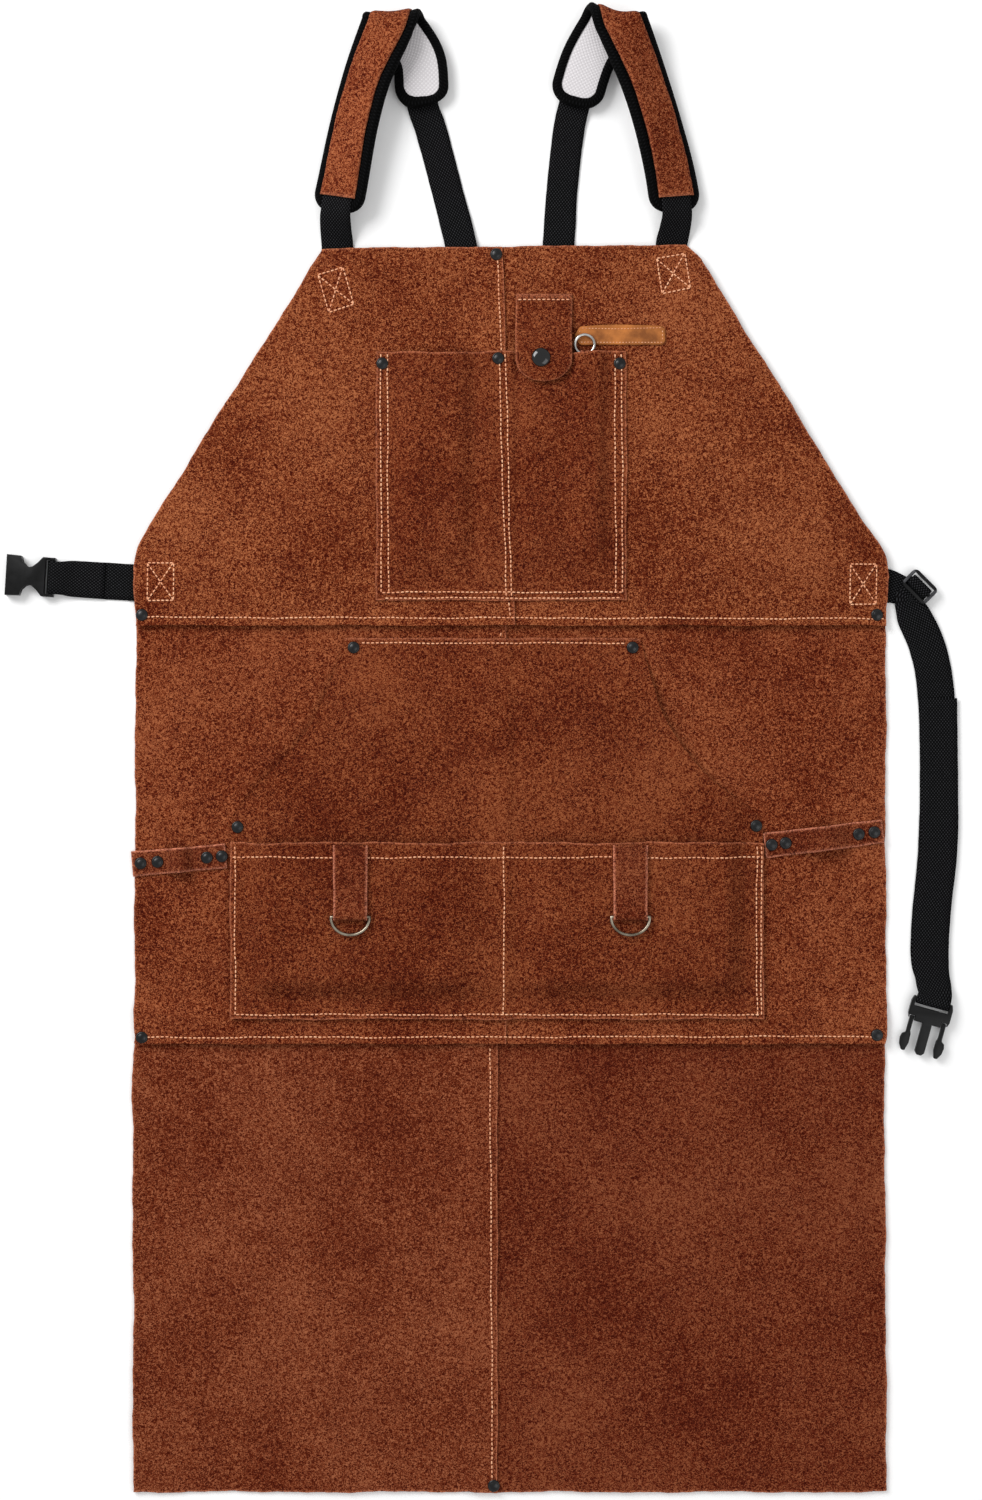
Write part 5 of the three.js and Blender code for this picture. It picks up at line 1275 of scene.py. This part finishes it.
for side, route in SHOULDER_ROUTES.items():
    whole = strap_frames(route, SHOULDER_HALF, ROUTE_STEP)
    strap(f"shoulder_webbing_{side}", whole)
    first = whole["s"][np.searchsorted(whole["t"], PAD_FIRST)]
    last = whole["s"][np.searchsorted(whole["t"], PAD_LAST)]
    pad = cut_frames(whole, first, last, 150)
    length = pad["s"][-1]

    # Cushion: a flattened oval section whose ends close to a line.
    s = even_ends(CUSHION_INSET, length - CUSHION_INSET, 96)
    here = frames_at(pad, s)
    angle = np.linspace(0, 2 * math.pi, CUSHION_SIDES, endpoint=False)
    half = pad_half(s, length, 4.0)
    thick = 2.75 * (0.35 + 0.65 * end_rounding(s - CUSHION_INSET, length - 2 * CUSHION_INSET, 14))
    reach = half[:, None] * np.sign(np.cos(angle)) * np.abs(np.cos(angle)) ** 0.55
    height = -3.7 + thick[:, None] * np.sign(np.sin(angle)) * np.abs(np.sin(angle)) ** 0.6
    points = pad_surface(here, reach, height)
    tips = points[[0, -1]].mean(axis=1)
    count = points.shape[0] * CUSHION_SIDES
    cushion = piece(
        f"pad_foam_{side}", np.concatenate([points.reshape(-1, 3), tips]),
        grid_quads(len(s), CUSHION_SIDES, wrap_columns=True), PAD_BASE,
        triangles=end_fans(CUSHION_SIDES, count - CUSHION_SIDES, count, count + 1),
        stands_for=[f"pad_foam_{side}"],
        uv=np.concatenate([flat_lengths(reach, s), [[UV_START, 0], [UV_START, length]]]),
    )

    # Lining: a thin sheet under the cushion, crowned between its bound edges.
    s = even_ends(LINING_INSET, length - LINING_INSET, 90)
    here = frames_at(pad, s)
    across = np.linspace(-1, 1, 22)[None, :]
    reach = pad_half(s, length, 5.0)[:, None] * across
    rounding = end_rounding(s - LINING_INSET, length - 2 * LINING_INSET, 22)[:, None]
    crown = 0.9 * (1 - np.abs(across) ** 3) * rounding
    under = [pad_surface(here, reach, -6.45 - crown - level) for level in (0.0, 0.7)]
    points, quads = closed_sheet(under[0][:, ::-1], under[1][:, ::-1])
    lining = piece(
        f"pad_lining_{side}", points, quads, LINING_MESH, stands_for=[f"pad_lining_{side}"],
        uv=np.concatenate([flat_lengths(reach[:, ::-1], s)] * 2),
    )

    # Binding: tape folded over the pad's edge, a C-shaped section carried once round the outline.
    s = even_ends(0.0, length, 130)
    inner_s = BINDING_WIDTH + (length - 2 * BINDING_WIDTH) * s / length
    outer_reach, inner_reach = pad_half(s, length, 0.0), pad_half(inner_s, length, BINDING_WIDTH)
    section = np.array(
        [(1.0, -0.35), (0.55, -0.05), (0.2, -0.35), (0.0, -1.6), (-0.07, -4.0), (0.0, -6.7),
         (0.2, -8.0), (0.55, -8.3), (1.0, -8.0), (0.97, -7.1), (0.5, -6.9), (0.25, -5.4),
         (0.2, -4.0), (0.25, -2.6), (0.5, -1.3), (0.97, -1.1)]
    )
    side_s = s[:, None] + (inner_s - s)[:, None] * section[None, :, 0]
    side_reach = outer_reach[:, None] + (inner_reach - outer_reach)[:, None] * section[None, :, 0]
    loop_s = np.concatenate([side_s, side_s[::-1]])
    loop_reach = np.concatenate([side_reach, -side_reach[::-1]])
    here = frames_at(pad, np.clip(loop_s, 0, length).ravel())
    flat_height = np.broadcast_to(section[None, :, 1], loop_s.shape).reshape(-1, 1)
    points = pad_surface(here, loop_reach.reshape(-1, 1), flat_height).reshape(-1, 3)
    quads = grid_quads(len(loop_s), len(section), wrap_rows=True, wrap_columns=True)
    ring_step = points.reshape(len(loop_s), len(section), 3)[:, 4]
    along = np.concatenate([[0], np.cumsum(np.linalg.norm(np.diff(ring_step, axis=0), axis=1))])
    steps = np.diff(section, axis=0) * [BINDING_WIDTH, 1]
    around = np.concatenate([[0], np.cumsum(np.hypot(*steps.T))])
    lengths = np.stack(np.broadcast_arrays(around[None, :], along[:, None]), -1).reshape(-1, 2)
    piece(
        f"pad_binding_{side}", points, quads, BINDING_TAPE,
        stands_for=[f"pad_binding_{side}"], uv=lengths,
    )

    # Leather strip over the webbing, with a square-cut raw front end.
    s = np.linspace(STRIP_START, length - STRIP_END, 110)
    here = frames_at(pad, s)
    across = np.linspace(-1, 1, 20)
    reach = STRIP_HALF * across[None, :] + 0.4 * waver(s, 1.0, 50)[:, None] * across
    height = 1.05 - 1.3 * np.abs(across[None, :]) ** 9 + 0.3 * (waver(s, 1.0, 51)[:, None] + 0.4)
    faces = [pad_surface(here, reach[:, ::-1], (height + level)[:, ::-1]) for level in (LEATHER, 0.0)]
    points, quads = closed_sheet(*faces)
    far = np.minimum(s - s[0], s[-1] - s)[:, None] + 0 * across
    edge = np.exp(-((far / 1.6) ** 2)) + 0.35 * np.abs(across[None, :]) ** 24
    strip = piece(
        f"pad_leather_{side}", points, quads, STRIP_SUEDE, stands_for=[f"pad_leather_{side}"],
        edge=np.concatenate([np.clip(edge, 0, 1).ravel()] * 2),
    )

# ---- Waist straps ----
FEMALE = {"x": -366.2, "y": 731.4, "turn": -3.5}
MALE = {"x": 337.6, "y": 391.6, "turn": -15.5}
SLIDER = {"x": 327.0, "y": 724.0, "turn": -45.0}
BAR_Z = 4.4
LOOP_RADIUS = 2.9
WAIST_HALF = 14.5
BUCKLE_HALF = 13.2
SLIDER_HALF = 9.5


def placed(origin, along, across, z):
    """A buckle's own (along, across, z) as a point on the apron's grid."""
    turn = math.radians(origin["turn"])
    return (
        origin["x"] + along * math.cos(turn) - across * math.sin(turn),
        origin["y"] + along * math.sin(turn) + across * math.cos(turn),
        z,
    )


def left_point(along, z, half):
    """A route point of the left waist strap."""
    turn = math.radians(FEMALE["turn"])
    return (*placed(FEMALE, along, 0, z), math.sin(turn) * half, -math.cos(turn) * half, 0)


def down_point(origin, along, z, half):
    """A route point where the strap runs down through a buckle set to origin."""
    turn = math.radians(origin["turn"])
    return (*placed(origin, 0, along, z), -math.cos(turn) * half, -math.sin(turn) * half, 0)


bar_turn = np.radians(np.linspace(-90, -270, 9))
round_bar = [(LOOP_RADIUS * math.cos(a), BAR_Z + LOOP_RADIUS * math.sin(a)) for a in bar_turn]
left_route = [
    left_point(101, LOWER_Z, WAIST_HALF), left_point(66, LOWER_Z, WAIST_HALF),
    left_point(30, LOWER_Z, WAIST_HALF), left_point(8, LOWER_Z + 0.1, BUCKLE_HALF),
    *[left_point(along, z, BUCKLE_HALF) for along, z in round_bar],
    left_point(7, BAR_Z + 2, BUCKLE_HALF), left_point(16, UPPER_Z + 1, WAIST_HALF),
    left_point(42, UPPER_Z, WAIST_HALF),
]
strap(
    "waist_strap_left", strap_frames(left_route, WAIST_HALF, ROUTE_STEP),
)

slider_turn = [
    (-7, LOWER_Z), (0, LOWER_Z + 0.2), (3.6, 2.8), (4, 5), (3, 7.2), (0, 8.2), (-3, 7.2), (-4, 5), (-5, 3.1),
    (-8, UPPER_Z + 0.1), (-14, UPPER_Z),
]
right_route = [
    (266, 726, LOWER_Z, 0, WAIST_HALF, 0), (300, 725, LOWER_Z, 0, WAIST_HALF - 1, 0),
    (313, 721.5, LOWER_Z, -3, 11, 0),
    *[down_point(SLIDER, along, z, SLIDER_HALF) for along, z in slider_turn],
    (322, 702, UPPER_Z, -13, 4, 0), (333, 678, LOWER_Z + 0.4, -WAIST_HALF, 1, 0),
    (340, 645, LOWER_Z, -WAIST_HALF, 0, 0),
    (341, 515, LOWER_Z, -WAIST_HALF, 0, 0), (336, 461, LOWER_Z, -WAIST_HALF, -1, 0),
    (335.5, 425, LOWER_Z, -WAIST_HALF, -3, 0),
    down_point(MALE, 9, LOWER_Z + 0.1, BUCKLE_HALF),
    *[down_point(MALE, along, z, BUCKLE_HALF) for along, z in round_bar],
    down_point(MALE, 7, BAR_Z + 2, BUCKLE_HALF), (338, 408, UPPER_Z + 1.4, -BUCKLE_HALF, 3.4, 0),
    (336, 428, UPPER_Z + 0.3, -WAIST_HALF, -1, 0), (337.5, 461, UPPER_Z, -WAIST_HALF, -1, 0),
    (343, 515, UPPER_Z, -WAIST_HALF, 0, 0), (343, 635, UPPER_Z, -WAIST_HALF, 0, 0),
]
strap(
    "waist_strap_right", strap_frames(right_route, WAIST_HALF, ROUTE_STEP),
)


# ---- Moulded buckles ----
def moulded(name, body, bevel, look=BLACK_PLASTIC):
    """A moulded copy of a CAD node: doubles merged, flat faces joined, edges rounded."""
    source = frame["nodes"][name]
    mesh = source.data.copy()
    made = bpy.data.objects.new(f"moulded_{name}", mesh)
    bpy.context.collection.objects.link(made)
    shape = bmesh.new()
    shape.from_mesh(mesh)
    bmesh.ops.remove_doubles(shape, verts=shape.verts, dist=2e-5)
    bmesh.ops.dissolve_limit(shape, angle_limit=math.radians(2), verts=shape.verts, edges=shape.edges)
    shape.to_mesh(mesh)
    shape.free()
    mesh.materials.clear()
    mesh.materials.append(look)
    round_edges = made.modifiers.new("rounded", "BEVEL")
    round_edges.width = bevel / 1000
    round_edges.segments = 3
    round_edges.limit_method = "ANGLE"
    round_edges.angle_limit = math.radians(28)
    round_edges.harden_normals = True
    mesh.shade_smooth()
    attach(made, body)
    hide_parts(name)
    return made


moulded("female_buckle", "female_buckle", 0.7)
moulded("male_buckle", "male_buckle", 0.6)
moulded("buckle_prong_left", "prong_left", 0.8)
moulded("buckle_prong_right", "prong_right", 0.8)
moulded("strap_slider", "apron", 0.6)


# ---- Slider's grip rails ----
def grip_rail(name, along):
    """A ribbed rail across the slider: a low half-round bar whose height carries a row of sine ribs."""
    u, v = np.meshgrid(np.linspace(-1, 1, 61), np.linspace(-1, 1, 13))
    rounded = np.sqrt(np.clip(1 - np.abs(v) ** 4, 0, 1)) * np.clip((1 - np.abs(u)) / 0.1, 0, 1) ** 0.5
    height = 6.62 + 1.0 * rounded * (0.8 + 0.2 * np.sin(u * 9 * math.pi))
    turn = math.radians(SLIDER["turn"])
    local_x = along + 1.15 * v
    local_y = 6.6 * u
    x = SLIDER["x"] + local_x * math.cos(turn) - local_y * math.sin(turn)
    y = SLIDER["y"] + local_x * math.sin(turn) + local_y * math.cos(turn)
    top = np.stack([x, y, height], axis=-1)[:, ::-1]
    bottom = np.stack([x, y, np.full_like(x, 6.61)], axis=-1)[:, ::-1]
    points, quads = closed_sheet(top, bottom)
    return piece(name, points, quads, GREY_PLASTIC)


grip_rail("slider_rail_outer", 11.7)
grip_rail("slider_rail_inner", -11.7)


# ---- Stitching ----
STITCH_RINGS = 6
STITCH_SIDES = 6


def stitch_points(run, pitch):
    """Centres and directions of stitches set at about pitch along a run of (x, y) points."""
    run = np.asarray(run, float)
    lengths = np.concatenate([[0], np.cumsum(np.hypot(*np.diff(run, axis=0).T))])
    count = max(1, int(round(lengths[-1] / pitch)))
    s = (np.arange(count) + 0.5) * lengths[-1] / count
    ends = [np.stack([np.interp(s + d, lengths, run[:, k]) for k in (0, 1)], -1) for d in (-0.5, 0.5)]
    direction = ends[1] - ends[0]
    direction /= np.maximum(np.linalg.norm(direction, axis=1, keepdims=True), 1e-6)
    centre = np.stack([np.interp(s, lengths, run[:, k]) for k in (0, 1)], -1)
    return centre, direction


def seam(name, runs, face, pitch=3.7, length=3.1, radius=0.56, body="apron", seed=0):
    """Thread stitches along runs: each is a spindle that rises out of one hole and dives into the next,
    set on the leather's upper face."""
    parts = [stitch_points(run, pitch) for run in runs]
    centre = np.concatenate([c for c, _ in parts])
    direction = np.concatenate([d for _, d in parts])
    count = len(centre)
    k = np.arange(count)
    wobble = np.sin(k * 12.9898 + seed) * 0.5 + np.sin(k * 4.37 + seed) * 0.5
    turn = 0.07 * wobble
    c, s = np.cos(turn), np.sin(turn)
    ahead, aside = direction.T
    direction = np.stack([ahead * c - aside * s, ahead * s + aside * c], -1)
    sideways = np.stack([-direction[:, 1], direction[:, 0]], -1)
    t = np.linspace(-1, 1, STITCH_RINGS)
    angle = np.linspace(0, 2 * math.pi, STITCH_SIDES, endpoint=False)
    thick = radius * (1 - 0.55 * t**4)
    along = t * length / 2
    lift = radius * 0.55 - np.abs(t) ** 5 * radius * 1.9
    xy = (
        centre[:, None, None] + direction[:, None, None] * along[None, :, None, None]
        + sideways[:, None, None] * (thick[:, None] * np.cos(angle))[None, :, :, None]
    )
    ground = face(xy[..., 0].mean(axis=2), xy[..., 1].mean(axis=2))
    z = ground[:, :, None] + lift[None, :, None] + (thick[:, None] * np.sin(angle))[None]
    points = np.concatenate([xy, z[..., None]], axis=-1).reshape(-1, 3)
    one = grid_quads(STITCH_RINGS, STITCH_SIDES, wrap_columns=True)
    end = (STITCH_RINGS - 1) * STITCH_SIDES
    first_cap = np.array([[3, 2, 1, 0], [5, 4, 3, 0]])
    last_cap = end + np.array([[0, 1, 2, 3], [0, 3, 4, 5]])
    one = np.concatenate([one, first_cap, last_cap])
    quads = (one[None] + (k * STITCH_RINGS * STITCH_SIDES)[:, None, None]).reshape(-1, 4)
    return piece(name, points, quads[:, ::-1], THREAD, body)


def straight(x0, y0, x1, y1, sway=0.5, seed=0):
    """A sewn line between two points that wanders a little, as hand-fed leather does."""
    dx, dy = x1 - x0, y1 - y0
    length = math.hypot(dx, dy)
    t = np.linspace(0, 1, max(3, int(length / 4)))
    offset = waver(t * length, sway, seed)
    return np.stack([x0 + dx * t - dy / length * offset, y0 + dy * t + dx / length * offset], -1)


def cross_box(x, y, width, height, lean):
    """A box of stitches with a cross in it, leaning by so many degrees."""
    turn = math.radians(lean)
    corners = np.array([(-1, -1), (1, -1), (1, 1), (-1, 1)]) * [width / 2, height / 2]
    spin = np.array([[math.cos(turn), -math.sin(turn)], [math.sin(turn), math.cos(turn)]])
    corners = corners @ spin.T + [x, y]
    pairs = [(0, 1), (1, 2), (2, 3), (3, 0), (0, 2), (1, 3)]
    return [straight(*corners[a], *corners[b], 0.3, 60 + a + b) for a, b in pairs]


seam("seam_skirt_centre", [straight(-14, 4, -16, 356, 0.6, 31)], skirt_top)
seam("seam_middle_centre", [straight(-7, 688, -7.5, 684, 0.3, 32)], middle_top)
seam("seam_bib_centre", [straight(0, 700, -1.5, 716, 0.3, 33), straight(-7, 908, -10, 992, 0.5, 33)], bib_top)
seam("seam_bib_lower", [straight(-298, 699.5, 299, 698.5, 0.7, 34)], bib_top)
seam("seam_middle_lower", [straight(-298, 364, 298, 365, 0.7, 35)], middle_top)
seam(
    "seam_chest_pocket",
    [
        straight(-103.5, 910, -102.5, 719, 0.6, 36), straight(-98, 910, -97, 719, 0.6, 37),
        straight(89, 910, 90, 719, 0.6, 38), straight(83.5, 910, 84.5, 719, 0.6, 39),
        straight(-102.5, 719.5, 90, 719.5, 0.6, 40), straight(-100, 714.8, 88, 714.8, 0.5, 41),
        straight(-9, 910, -3, 716, 0.6, 42), straight(-3.5, 910, 1, 716, 0.6, 43),
    ],
    chest_face,
)
seam(
    "seam_label",
    [
        straight(56, 918.9, 122, 918.9, 0.15, 54), straight(57, 930.2, 88, 929.6, 0.1, 55),
        straight(88, 929.6, 121, 930.6, 0.1, 56), straight(55.6, 920.5, 55.6, 929, 0.1, 57),
        straight(121.6, 920.5, 121.6, 929, 0.1, 58),
    ],
    label_face, pitch=2.5, length=1.7, radius=0.3,
)
seam("seam_flap", [straight(6, 953, 48, 953, 0.3, 44)], flap_face, body="flap")
seam("seam_hand_pocket", [straight(-119, 679, 92, 679, 0.5, 45)], hand_face)
seam(
    "seam_tool_pocket",
    [
        straight(-222, 508, 200, 508, 0.8, 47), straight(-219.5, 517, -219.5, 382, 0.7, 48),
        straight(197, 517, 197, 382, 0.7, 49), straight(200.6, 517, 200.6, 382, 0.6, 50),
        straight(-219, 382.5, 199, 382.5, 0.7, 51), straight(-5, 517, -5, 382, 0.6, 52),
    ],
    tool_face,
)
seam(
    "seam_strap_boxes",
    [
        *cross_box(-139, 961, 21, 31, 17), *cross_box(130.5, 974, 23, 28, 10),
        *cross_box(-279, 728, 21, 30, 0), *cross_box(282, 726, 21, 32, 0),
    ],
    bib_top,
)

# ---- Floor ----
FLOOR_HALF = 6000
FLOOR_Z = -0.05
floor_corners = [(-1, -1), (1, -1), (1, 1), (-1, 1)]
floor_points = np.array([(x * FLOOR_HALF, y * FLOOR_HALF, FLOOR_Z) for x, y in floor_corners])
floor_mesh = bpy.data.meshes.new("floor")
floor_mesh.from_pydata(world(floor_points).tolist(), [], [(0, 1, 2, 3)])
floor = bpy.data.objects.new("floor", floor_mesh)
bpy.context.collection.objects.link(floor)
floor_mesh.materials.append(FLOOR)
